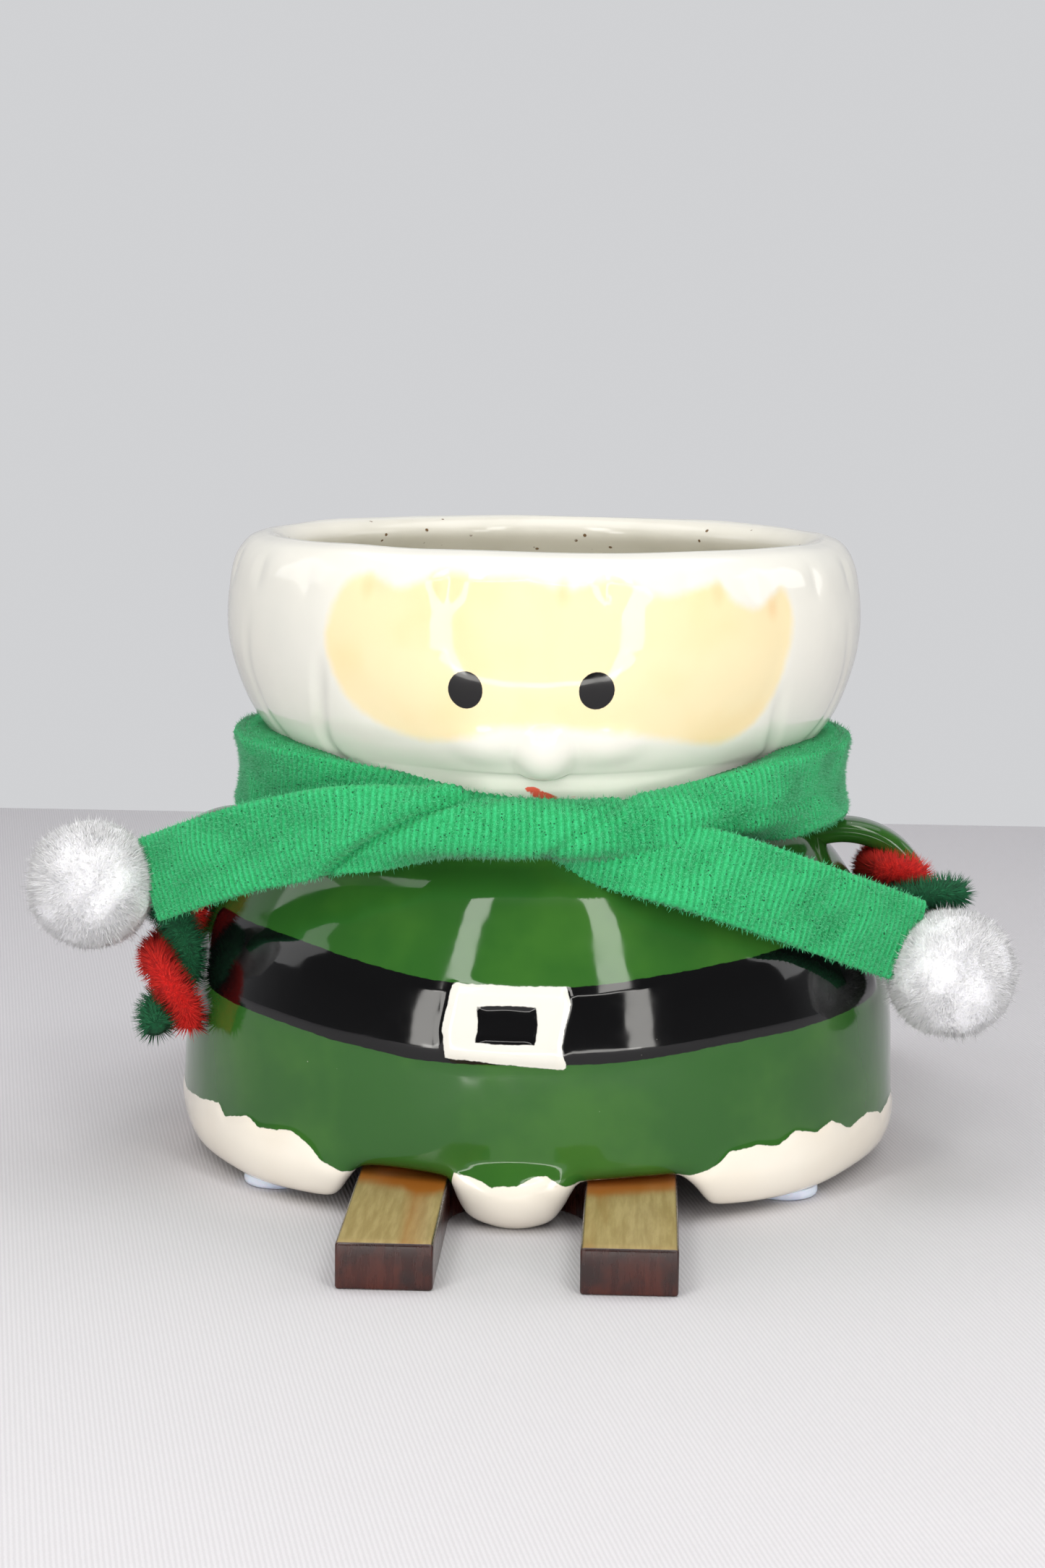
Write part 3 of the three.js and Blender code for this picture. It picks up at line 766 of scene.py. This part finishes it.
def make_board():
    outline = board_outline()
    count = len(outline)
    mesh = bpy.data.meshes.new("varnished_board")
    lower = [(x * MM, y * MM, 0) for x, y in outline]
    upper = [(x * MM, y * MM, BOARD_THICKNESS * MM) for x, y in outline]
    sides = [(k, (k + 1) % count, count + (k + 1) % count, count + k) for k in range(count)]
    caps = [tuple(range(count - 1, -1, -1)), tuple(range(count, 2 * count))]
    mesh.from_pydata(lower + upper, [], caps + sides)
    mesh.materials.append(board_side())
    mesh.materials.append(board_top())
    board = bpy.data.objects.new("varnished_board", mesh)
    bpy.context.scene.collection.objects.link(board)
    bevel = board.modifiers.new("edges", "BEVEL")
    bevel.width = 0.55 * MM
    bevel.segments = 3
    bevel.limit_method = "ANGLE"
    bevel.angle_limit = math.radians(40)
    bpy.context.view_layer.objects.active = board
    board.select_set(True)
    bpy.ops.object.modifier_apply(modifier="edges")
    board.select_set(False)
    paint_board(board)
    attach(board, "pot")
    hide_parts("forked_board")


def paint_board(board):
    """Splits long faces so that the edge values and the painted shade under the pot can follow, then sets
    them.
    """
    work = bmesh.new()
    work.from_mesh(board.data)
    for cut in np.arange(BOARD_FRONT + 3, BOARD_BACK, 3.0):
        geometry = work.verts[:] + work.edges[:] + work.faces[:]
        bmesh.ops.bisect_plane(work, geom=geometry, plane_co=(0, cut * MM, 0), plane_no=(0, 1, 0))
    for cut in np.arange(-24, 25, 3.0):
        geometry = work.verts[:] + work.edges[:] + work.faces[:]
        bmesh.ops.bisect_plane(work, geom=geometry, plane_co=(cut * MM, 0, 0), plane_no=(1, 0, 0))
    work.to_mesh(board.data)
    work.free()
    mesh = board.data
    for face in mesh.polygons:
        face.use_smooth = True
        face.material_index = 1 if face.normal.z > 0.9 else 0
    points = np.array([v.co for v in mesh.vertices]) / MM
    reach = np.hypot(points[:, 0], points[:, 1])
    # painted shade under the pot: values rise inside the pot's footprint, and a band along the left prong is
    # added to them
    side_band = 0.6 * bump(np.abs(points[:, 0] + 17), 3.8)
    pot_shade_and_band = smoothstep(76, 66.5, reach) * 0.9 + side_band
    near_top = smoothstep(BOARD_THICKNESS - 1.1, BOARD_THICKNESS - 0.1, points[:, 2])
    on_top = points[:, 2] > BOARD_THICKNESS - 0.02
    set_values(board, "pot_shade_and_band", pot_shade_and_band)
    set_values(board, "edge", np.where(on_top, 0, near_top * 0.7))


def make_pads():
    rubber = pad_rubber()
    profile = [(0, 0.02), (4.6, 0.02), (5.7, 0.3), (6, 1), (5.9, 1.6), (5.5, 1.98), (0, 1.98)]
    line = spline(profile, count=40)
    turns = np.linspace(0, FULL_TURN, 48, endpoint=False)
    for node in ("front_left_pad", "front_right_pad", "rear_left_pad", "rear_right_pad"):
        low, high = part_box(node)
        centre = (low + high) / 2 / MM
        rings = np.stack([
            centre.x + line[1:-1, :1] * np.cos(turns),
            centre.y + line[1:-1, :1] * np.sin(turns),
            np.tile(line[1:-1, 1:], (1, len(turns))),
        ], -1).reshape(-1, 3)
        rows = len(line) - 2
        ends = [[centre.x, centre.y, profile[0][1]], [centre.x, centre.y, profile[-1][1]]]
        ring = np.arange(48)
        last = (rows - 1) * 48
        faces = [grid_faces(rows, 48),
                 np.stack([np.full(48, len(rings)), (ring + 1) % 48, ring], 1),
                 np.stack([np.full(48, len(rings) + 1), last + ring, last + (ring + 1) % 48], 1)]
        pad = mesh_object(node + "_moulded", np.vstack([rings, ends]), faces, rubber)
        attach(pad, "pot")
        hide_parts(node)


# ---------------------------------------------------------------- scarf

def scarf_line(step):
    wrap = [(WRAP_RADIUS * math.sin(math.radians(a)), -WRAP_RADIUS * math.cos(math.radians(a)),
             WRAP_HEIGHT, 0, 0, 0.9, 0) for a in WRAP_ANGLES]
    return spline(LEFT_TAIL + wrap + RIGHT_TAIL, step=step)


class Strip:
    """The knitted strip: gives the point and the outward direction at (along, across)."""

    def __init__(self):
        self.rows = scarf_line(RIB_PITCH / 4)
        line = self.rows[:, :3]
        self.along = np.concatenate([[0], np.cumsum(np.linalg.norm(np.diff(line, axis=0), axis=1))])
        forward = tangents(line)
        out = unit(np.cross(forward, [0.0, 0.0, 1.0]))
        up = np.cross(out, forward)
        lean = np.radians(self.rows[:, 3:4])
        self.out = out * np.cos(lean) + up * np.sin(lean)
        self.up = up * np.cos(lean) - out * np.sin(lean)
        self.length = self.along[-1]

    def sections(self, across):
        """Middle surface and outward direction for each row at the given distances across."""
        fine = np.linspace(-SCARF_WIDTH / 2, SCARF_WIDTH / 2, 61)
        tuck = self.rows[:, 4:5]
        hollow = self.rows[:, 5:6]
        curl = 96 * self.rows[:, 6:7] * smoothstep(1, -4.5, fine) - 78 * tuck * smoothstep(0.5, 7.5, fine)
        angle = np.radians(24 * hollow * fine * 2 / SCARF_WIDTH + curl)
        step = fine[1] - fine[0]
        out = np.cumsum(np.sin(angle), 1) * step
        up = np.cumsum(np.cos(angle), 1) * step
        out -= out[:, 30:31]
        up -= up[:, 30:31]

        def pick(values):
            return np.stack([np.interp(across, fine, row) for row in values])
        out, up, angle = pick(out), pick(up), pick(angle)
        middle = self.rows[:, None, :3] + out[..., None] * self.out[:, None]
        middle = middle + up[..., None] * self.up[:, None]
        facing = np.cos(angle)[..., None] * self.out[:, None] - np.sin(angle)[..., None] * self.up[:, None]
        return middle, facing

    def folds(self, along, across):
        """The pinched crease where the left tail turns out, and the softer folds of the front."""
        def at(x_place):
            front = np.argmin(np.abs(self.rows[: len(self.rows) // 3, 0] - x_place))
            return self.along[front]
        crease = along - at(-24) - 1.9 * across
        fold = -2.5 * np.exp(-(crease / 1.4) ** 2) + 1.2 * np.exp(-((crease + 4.5) / 3.6) ** 2)
        fold -= 0.8 * np.exp(-((crease - 4) / 3.5) ** 2)
        second = along - at(7) - 1.5 * across
        fold -= 1.0 * np.exp(-(second / 1.7) ** 2)
        third = across + 0.5 + 0.05 * (along - at(38))
        fold -= 1.1 * np.exp(-(third / 1.2) ** 2) * np.exp(-((along - at(38)) / 26) ** 2)
        return fold


def rib_wave(along, across):
    """1 on a rib and -1 between two, with the ribs wandering a little."""
    wander = 0.35 * np.sin(along / 9.0) + 0.2 * np.sin(across / 2.3 + along / 17)
    return np.cos(FULL_TURN * (along + wander) / RIB_PITCH)


def snug(points):
    """Points of the strip's inner side, moved in to touch the pot wherever it is close behind."""
    outside = spline(COAT + HEAD + RIM[1:3], step=0.5)
    order = np.argsort(outside[:, 1])
    pot = np.interp(points[..., 2], outside[order, 1], outside[order, 0]) + 0.35
    reach = np.hypot(points[..., 0], points[..., 1])
    gap = reach - pot
    moved = np.where((gap > 0) & (gap < 5.5), reach - gap * smoothstep(5.5, 3.5, gap), np.maximum(reach, pot))
    scale = np.where(points[..., 2] > 60.5, moved / reach, 1)
    return points * np.stack([scale, scale, np.ones_like(scale)], -1)


def make_scarf():
    strip = Strip()
    half = SCARF_WIDTH / 2 - 0.7
    outer = np.linspace(-half, half, 25)
    inner = np.linspace(half, -half, 13)
    along = strip.along[:, None]
    middle, facing = strip.sections(outer)
    wave = rib_wave(along, outer[None])
    fold = strip.folds(along, outer[None])
    lumps = 0.25 * unevenness(middle.reshape(-1, 3), 9, 21).reshape(wave.shape)
    front = middle + facing * (SCARF_THICKNESS / 2 + 0.17 * wave + fold + lumps)[..., None]
    middle_in, facing_in = strip.sections(inner)
    fold_in = strip.folds(along, inner[None])
    back = snug(middle_in - facing_in * (SCARF_THICKNESS / 2 - fold_in)[..., None])
    edges = []
    for place in (SCARF_WIDTH / 2, -SCARF_WIDTH / 2):
        at_edge, faces_edge = strip.sections(np.array([place]))
        wobble = 0.16 * rib_wave(along, np.array([[place]]))
        shift = strip.folds(along, np.array([[place]]))
        side = np.sign(place) * strip.up[:, None] * wobble[..., None]
        for lift in (0.45, -0.45):
            edge = at_edge + faces_edge * (lift * SCARF_THICKNESS + shift)[..., None] + side
            edges.append(edge if lift > 0 else snug(edge))
    rings = np.concatenate([front, edges[0], edges[1], back, edges[3], edges[2]], 1)
    rows, count = rings.shape[:2]
    centre = rings.mean(1)
    points = np.vstack([rings.reshape(-1, 3), centre[:1], centre[-1:]])
    ring = np.arange(count)
    last = (rows - 1) * count
    faces = [grid_faces(rows, count)[:, ::-1],
             np.stack([np.full(count, len(points) - 2), ring, (ring + 1) % count], 1),
             np.stack([np.full(count, len(points) - 1), last + (ring + 1) % count, last + ring], 1)]
    scarf = mesh_object("knitted_scarf", points, faces, scarf_knit())
    rib = np.concatenate([wave, np.zeros((rows, count - wave.shape[1]))], 1).ravel()
    set_values(scarf, "rib", np.concatenate([rib, [0, 0]]))
    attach(scarf, "pot")
    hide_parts("scarf_neck_wrap", "scarf_left_tail", "scarf_right_tail")
    piles = make_scarf_pile(strip)
    return strip


def make_scarf_pile(strip):
    """Short fuzz on the knit, longest on the ribs, in two halves."""
    random = np.random.default_rng(31)
    # the first colour is the darker root: painted shade deep in the scarf's fuzz
    green = pile("scarf pile", rgb(26, 156, 88), rgb(56, 192, 124), rgb(112, 222, 164), 0.1)
    across = np.linspace(-SCARF_WIDTH / 2, SCARF_WIDTH / 2, 41)
    middle, facing = strip.sections(across)
    rows = len(strip.along)
    pieces = []
    for part, (first, last) in enumerate(((0, rows // 2), (rows // 2, rows))):
        count = 49000
        row = random.integers(first, last, count)
        column = random.integers(0, len(across), count)
        along = strip.along[row]
        place = across[column]
        wave = rib_wave(along, place)
        fold = strip.folds(along, place)
        edge = smoothstep(6.6, 7.5, np.abs(place)) * np.sign(place)
        out = facing[row, column]
        root = middle[row, column] + out * (SCARF_THICKNESS / 2 - 0.25 + 0.17 * wave + fold)[:, None]
        root -= out * (np.abs(edge) * random.random(count) * SCARF_THICKNESS)[:, None]
        root += strip.up[row] * (random.uniform(-0.25, 0.25, count))[:, None]
        root += tangents(strip.rows[:, :3])[row] * random.uniform(-0.3, 0.3, count)[:, None]
        heading = unit(out * (1 - 0.7 * np.abs(edge))[:, None] + strip.up[row] * edge[:, None] * 1.2)
        heading = unit(heading + random.normal(size=(count, 3)) * 0.42)
        lengths = random.uniform(0.55, 1.15, count) + 0.12 * wave
        facing_out = unit(heading + 2 * out)
        piece = fibres(f"scarf_pile_{part + 1}", root, heading, facing_out, lengths, 0.07, green, random)
        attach(piece, "pot")
        pieces.append(piece)
    return pieces


# ---------------------------------------------------------------- pom-poms

def make_pompoms():
    # the first colour is the slightly darker root: painted shade deep in the fluff
    fluff = pile("pompom fluff", rgb(240, 241, 248), rgb(250, 250, 254), rgb(255, 255, 255), 0.1)
    under = woolly("pompom heart", rgb(246, 246, 252), rgb(254, 254, 255))
    sides = (("left_pompom", LEFT_POMPOM, 41), ("right_pompom", RIGHT_POMPOM, 42))
    for node, centre, seed in sides:
        random = np.random.default_rng(seed)
        centre = np.array(centre, float)
        turns = np.linspace(0, FULL_TURN, 72, endpoint=False)
        tilts = np.linspace(0, math.pi, 40)[1:-1]
        ball = np.stack([
            np.sin(tilts)[:, None] * np.cos(turns),
            np.sin(tilts)[:, None] * np.sin(turns),
            -np.cos(tilts)[:, None] * np.ones(72),
        ], -1).reshape(-1, 3)
        ball = np.vstack([ball, [[0, 0, -1], [0, 0, 1]]])
        size = POMPOM_RADIUS - 1.3 + 0.2 * unevenness(ball * 10, 5, seed)
        ring = np.arange(72)
        last = (len(tilts) - 1) * 72
        faces = [grid_faces(len(tilts), 72),
                 np.stack([np.full(72, len(ball) - 2), (ring + 1) % 72, ring], 1),
                 np.stack([np.full(72, len(ball) - 1), last + ring, last + (ring + 1) % 72], 1)]
        heart = mesh_object(node + "_heart", centre + ball * size[:, None], faces, under)
        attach(heart, "pot")
        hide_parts(node)
        count = 49000
        heading = unit(random.normal(size=(count, 3)))
        reach = POMPOM_RADIUS - 0.5 + 0.35 * unevenness(heading * 10, 7, seed + 5)
        reach = reach * (1 + 0.025 * random.normal(size=count).clip(-2, 2.5))
        reach += np.where(random.random(count) < 0.03, random.uniform(0.4, 1.6, count), 0)
        lean = unit(heading + random.normal(size=(count, 3)) * 0.32)
        start = centre + heading * (POMPOM_RADIUS - 2)
        lengths = reach - (POMPOM_RADIUS - 2)
        facing = unit(heading + random.normal(size=(count, 3)) * 0.3)
        coat = fibres(node + "_fluff", start, lean, facing, lengths, 0.09, fluff, random)
        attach(coat, "pot")


# ---------------------------------------------------------------- chenille handle

def pair_line():
    """The twisted pair's middle line from the left end to the right, with its across directions."""
    tilt = math.asin((PIVOT[1] - PAIR_RADIUS - 0.3) / HANDLE_REACH)
    half = [(-width, PIVOT[0] + reach * math.cos(tilt), PIVOT[1] - reach * math.sin(tilt))
            for width, reach in HANDLE_HALF]
    top = [(0, PIVOT[0] + HANDLE_REACH * math.cos(tilt), PIVOT[1] - HANDLE_REACH * math.sin(tilt))]
    mirrored = [(-x, y, z) for x, y, z in reversed(half)]
    knots = LEFT_END + half + top + mirrored + RIGHT_END
    line = spline(knots, step=0.5)
    arch = np.array([0, math.sin(tilt), math.cos(tilt)])
    sides = np.stack([-0.44 * np.sign(line[:, 0]), np.zeros(len(line)), np.full(len(line), 0.9)], 1)
    share = smoothstep(2, 20, line[:, 1])[:, None]
    return line, unit(sides * (1 - share) + arch * share)


def twist(line, along):
    """The pair's turn at each place: none in the lug holes, one turn for each pitch elsewhere."""
    holes = []
    for side in (-1, 1):
        away = np.hypot(line[:, 1], line[:, 0] - side * LUG_HOLE[0])
        away = away + 100 * (np.abs(line[:, 2] - LUG_HOLE[1]) > 4)
        holes.append(along[np.argmin(away)])
    left, right = holes
    turn = np.zeros(len(along))
    before = along < left
    away = left - along[before]
    turn[before] = FULL_TURN * np.maximum(0, away - UNTWISTED) / TWIST_PITCH
    turn[before] += math.radians(LEFT_END_TURN) * smoothstep(4, 16, away)
    between = (along >= left) & (along <= right)
    turns = round((right - left) / TWIST_PITCH)
    turn[between] = -FULL_TURN * turns * smoothstep(0, 1, (along[between] - left) / (right - left))
    after = along > right
    away = along[after] - right
    turn[after] = -FULL_TURN * (turns + np.maximum(0, away - UNTWISTED) / TWIST_PITCH)
    return turn


def make_handle():
    line, across = pair_line()
    along = np.concatenate([[0], np.cumsum(np.linalg.norm(np.diff(line, axis=0), axis=1))])
    forward = tangents(line)
    first = unit(across - forward * np.sum(across * forward, 1)[:, None])
    second = np.cross(forward, first)
    turn = twist(line, along)
    # the first colour of each stem is darker: painted shade at the fibres' roots and on the stem heart under
    # the pile
    colours = (
        ("red", 0.0, rgb(150, 10, 6), rgb(206, 18, 10), rgb(232, 40, 22)),
        ("green", math.pi, rgb(4, 58, 34), rgb(8, 90, 52), rgb(24, 118, 72)),
    )
    for seed, (name, start, root, low, high) in enumerate(colours):
        angle = (turn + start)[:, None]
        centre = line + TWIST_RADIUS * (np.cos(angle) * first + np.sin(angle) * second)
        around = np.linspace(0, FULL_TURN, 12, endpoint=False)
        section = [(STEM_CORE * math.cos(t), STEM_CORE * math.sin(t)) for t in around]
        heart = tube(f"{name}_stem_heart", centre, first, section, woolly(f"{name} stem heart", root, low))
        random = np.random.default_rng(60 + seed)
        count = 49500
        row = random.integers(0, len(centre), count)
        ahead = tangents(centre)[row]
        round_it = unit(np.cross(ahead, random.normal(size=(count, 3))))
        heading = unit(round_it + ahead * random.normal(size=(count, 1)) * 0.16)
        ends = np.minimum(along[row], along[-1] - along[row])
        outward = np.where(along[row] < along[-1] / 2, -1.0, 1.0)[:, None] * ahead
        heading = unit(heading + outward * smoothstep(2.5, 0, ends)[:, None] * random.random((count, 1)))
        roots = centre[row] + round_it * 1.2 + ahead * random.uniform(-0.25, 0.25, (count, 1))
        lengths = PILE_LENGTH + 0.3 * random.normal(size=count).clip(-2, 2)
        fluff = pile(f"{name} pile", root, low, high)
        coat = fibres(f"{name}_stem_pile", roots, heading, heading, lengths, 0.13, fluff, random)
        for piece in (heart, coat):
            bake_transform(piece)
        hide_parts(f"handle_{name}_stem", f"left_{name}_stem_end", f"right_{name}_stem_end")


# ---------------------------------------------------------------- stage, light, camera

def make_camera():
    data = bpy.data.cameras.new("camera")
    data.lens = 73.06
    data.sensor_width = 36
    data.clip_start = 0.01
    camera = bpy.data.objects.new("camera", data)
    bpy.context.scene.collection.objects.link(camera)
    camera.location = CAMERA_PLACE
    camera.rotation_euler = (math.radians(90 - LOOKING_DOWN), 0, math.radians(LOOKING_LEFT))
    camera.rotation_euler = (
        camera.rotation_euler.to_matrix() @ Matrix.Rotation(math.radians(CAMERA_ROLL), 3, "Z")
    ).to_euler()
    bpy.context.scene.camera = camera


def plane(name, corners, material):
    mesh = bpy.data.meshes.new(name)
    mesh.from_pydata(corners, [], [tuple(range(len(corners)))])
    mesh.materials.append(material)
    piece = bpy.data.objects.new(name, mesh)
    bpy.context.scene.collection.objects.link(piece)


def cloth_floor():
    """White cloth with a fine slanting rib."""
    shader = Shader("floor cloth")
    slant = (0, 0, math.radians(-12))
    turned = shader.add("ShaderNodeMapping", {"Vector": shader.place(), "Rotation": slant})
    wave = shader.add("ShaderNodeTexWave", {"Vector": turned, "Scale": 430.0, "Distortion": 1.2,
                                            "Detail": 2.0, "Detail Scale": 4.0}, output="Fac",
                      wave_type="BANDS", bands_direction="X")
    folds = shader.noise(7, 3)
    colour = shader.mix(shader.ramp(wave, 0.1, 0.9), rgb(203, 201, 204), rgb(211, 209, 212))
    normal = shader.bump(wave, 0.2, 0.0002, shader.bump(folds, 0.25, 0.006))
    return shader.set(Base_Color=colour, Roughness=0.85, Normal=normal)


def make_stage():
    front = [(-FLOOR_REACH, FLOOR_FRONT, 0), (FLOOR_REACH, FLOOR_FRONT, 0)]
    back = [(FLOOR_REACH, FLOOR_BACK, 0), (-FLOOR_REACH, FLOOR_BACK, 0)]
    plane("floor", front + back, cloth_floor())


def area_light(name, place, target, size, power, in_gloss=True):
    data = bpy.data.lights.new(name, "AREA")
    data.shape = "RECTANGLE"
    data.size, data.size_y = size
    data.energy = power
    light = bpy.data.objects.new(name, data)
    bpy.context.scene.collection.objects.link(light)
    light.visible_camera = False
    light.visible_glossy = in_gloss
    light.location = place
    light.rotation_euler = (Vector(target) - Vector(place)).to_track_quat("-Z", "Y").to_euler()


def make_world():
    """Dim in front above the horizon, pale behind the object, and a plain backdrop to the camera."""
    world = bpy.data.worlds.new("world")
    bpy.context.scene.world = world
    world.use_nodes = True
    tree = world.node_tree
    background = tree.nodes["Background"]
    place = tree.nodes.new("ShaderNodeTexCoord")
    split = tree.nodes.new("ShaderNodeSeparateXYZ")
    tree.links.new(place.outputs["Generated"], split.inputs[0])
    ramp = tree.nodes.new("ShaderNodeValToRGB")
    stops = [(-0.6, 0.3), (-0.05, 0.16), (0.3, 0.11), (0.84, 0.12), (0.97, 0.8)]
    while len(ramp.color_ramp.elements) < len(stops):
        ramp.color_ramp.elements.new(0.5)
    for element, (height, grey) in zip(ramp.color_ramp.elements, stops):
        element.position = height / 2 + 0.5
        element.color = (grey, grey, grey * 1.03, 1)
    half = tree.nodes.new("ShaderNodeMath")
    half.operation = "MULTIPLY_ADD"
    half.inputs[1].default_value = 0.5
    half.inputs[2].default_value = 0.5
    tree.links.new(split.outputs["Z"], half.inputs[0])
    tree.links.new(half.outputs[0], ramp.inputs[0])
    behind = tree.nodes.new("ShaderNodeMapRange")
    behind.inputs["From Min"].default_value = -0.1
    behind.inputs["From Max"].default_value = 0.5
    tree.links.new(split.outputs["Y"], behind.inputs["Value"])
    surround = tree.nodes.new("ShaderNodeMix")
    surround.data_type = "RGBA"
    tree.links.new(behind.outputs[0], surround.inputs[0])
    tree.links.new(ramp.outputs[0], surround.inputs[6])
    surround.inputs[7].default_value = STUDIO_BEHIND
    sight = tree.nodes.new("ShaderNodeLightPath")
    choose = tree.nodes.new("ShaderNodeMix")
    choose.data_type = "RGBA"
    tree.links.new(sight.outputs["Is Camera Ray"], choose.inputs[0])
    tree.links.new(surround.outputs[2], choose.inputs[6])
    choose.inputs[7].default_value = BACKDROP
    tree.links.new(choose.outputs[2], background.inputs["Color"])


def make_lights():
    """A soft box overhead and a bright frame of strips in front, which the glaze shows as an outline."""
    area_light("top", (0, 0.06, 0.75), (0, 0.06, 0), (0.9, 0.6), 2.5)
    area_light("fill", (0.02, -0.62, 0.05), (0, 0, 0.06), (0.8, 0.35), 1.9, in_gloss=False)
    area_light("left", (-0.7, 0.1, 0.4), (0, 0, 0.06), (0.35, 0.35), 0.5)
    area_light("right", (0.7, 0.1, 0.4), (0, 0, 0.06), (0.35, 0.35), 0.7)
    bars = (
        ((-FRAME_REACH, FRAME_LOW), (-FRAME_REACH, FRAME_HIGH), 0.08),
        ((FRAME_REACH, FRAME_LOW), (FRAME_REACH, FRAME_HIGH), 0.08),
        ((-FRAME_REACH, FRAME_LOW), (FRAME_REACH, FRAME_LOW), 0.028),
        ((-FRAME_REACH, FRAME_HIGH), (FRAME_REACH, FRAME_HIGH), 0.02),
    )
    for number, ((ax, az), (bx, bz), width) in enumerate(bars):
        strip((ax, FRAME_Y, az), (bx, FRAME_Y, bz), width, f"frame_{number + 1}")
    for side in (-1, 1):
        foot = (side * 0.24, FRAME_Y, FRAME_HIGH + 0.05)
        strip(foot, (side * 0.17, -0.27, 0.66), 0.085, f"canopy_{side + 2}")


def strip(start, end, width, name):
    """A long thin light between two places, facing the object."""
    start, end = Vector(start), Vector(end)
    middle = (start + end) / 2
    length = (end - start).length
    facing = (Vector((0, 0, 0.07)) - middle).normalized()
    along = (end - start).normalized()
    across = facing.cross(along).normalized()
    facing = along.cross(across).normalized()
    data = bpy.data.lights.new(name, "AREA")
    data.shape = "RECTANGLE"
    data.size, data.size_y = length, width
    data.energy = STRIP_RADIANCE * math.pi * length * width
    data.color = WARM_WHITE
    light = bpy.data.objects.new(name, data)
    bpy.context.scene.collection.objects.link(light)
    turn = Matrix((along, along.cross(facing), -facing)).transposed()
    light.matrix_world = Matrix.Translation(middle) @ turn.to_4x4()
    light.visible_camera = False


make_camera()
make_stage()
make_world()
make_lights()
bpy.context.scene.view_settings.view_transform = "Standard"
make_pot()
make_lugs()
make_board()
make_pads()
make_scarf()
make_pompoms()
make_handle()
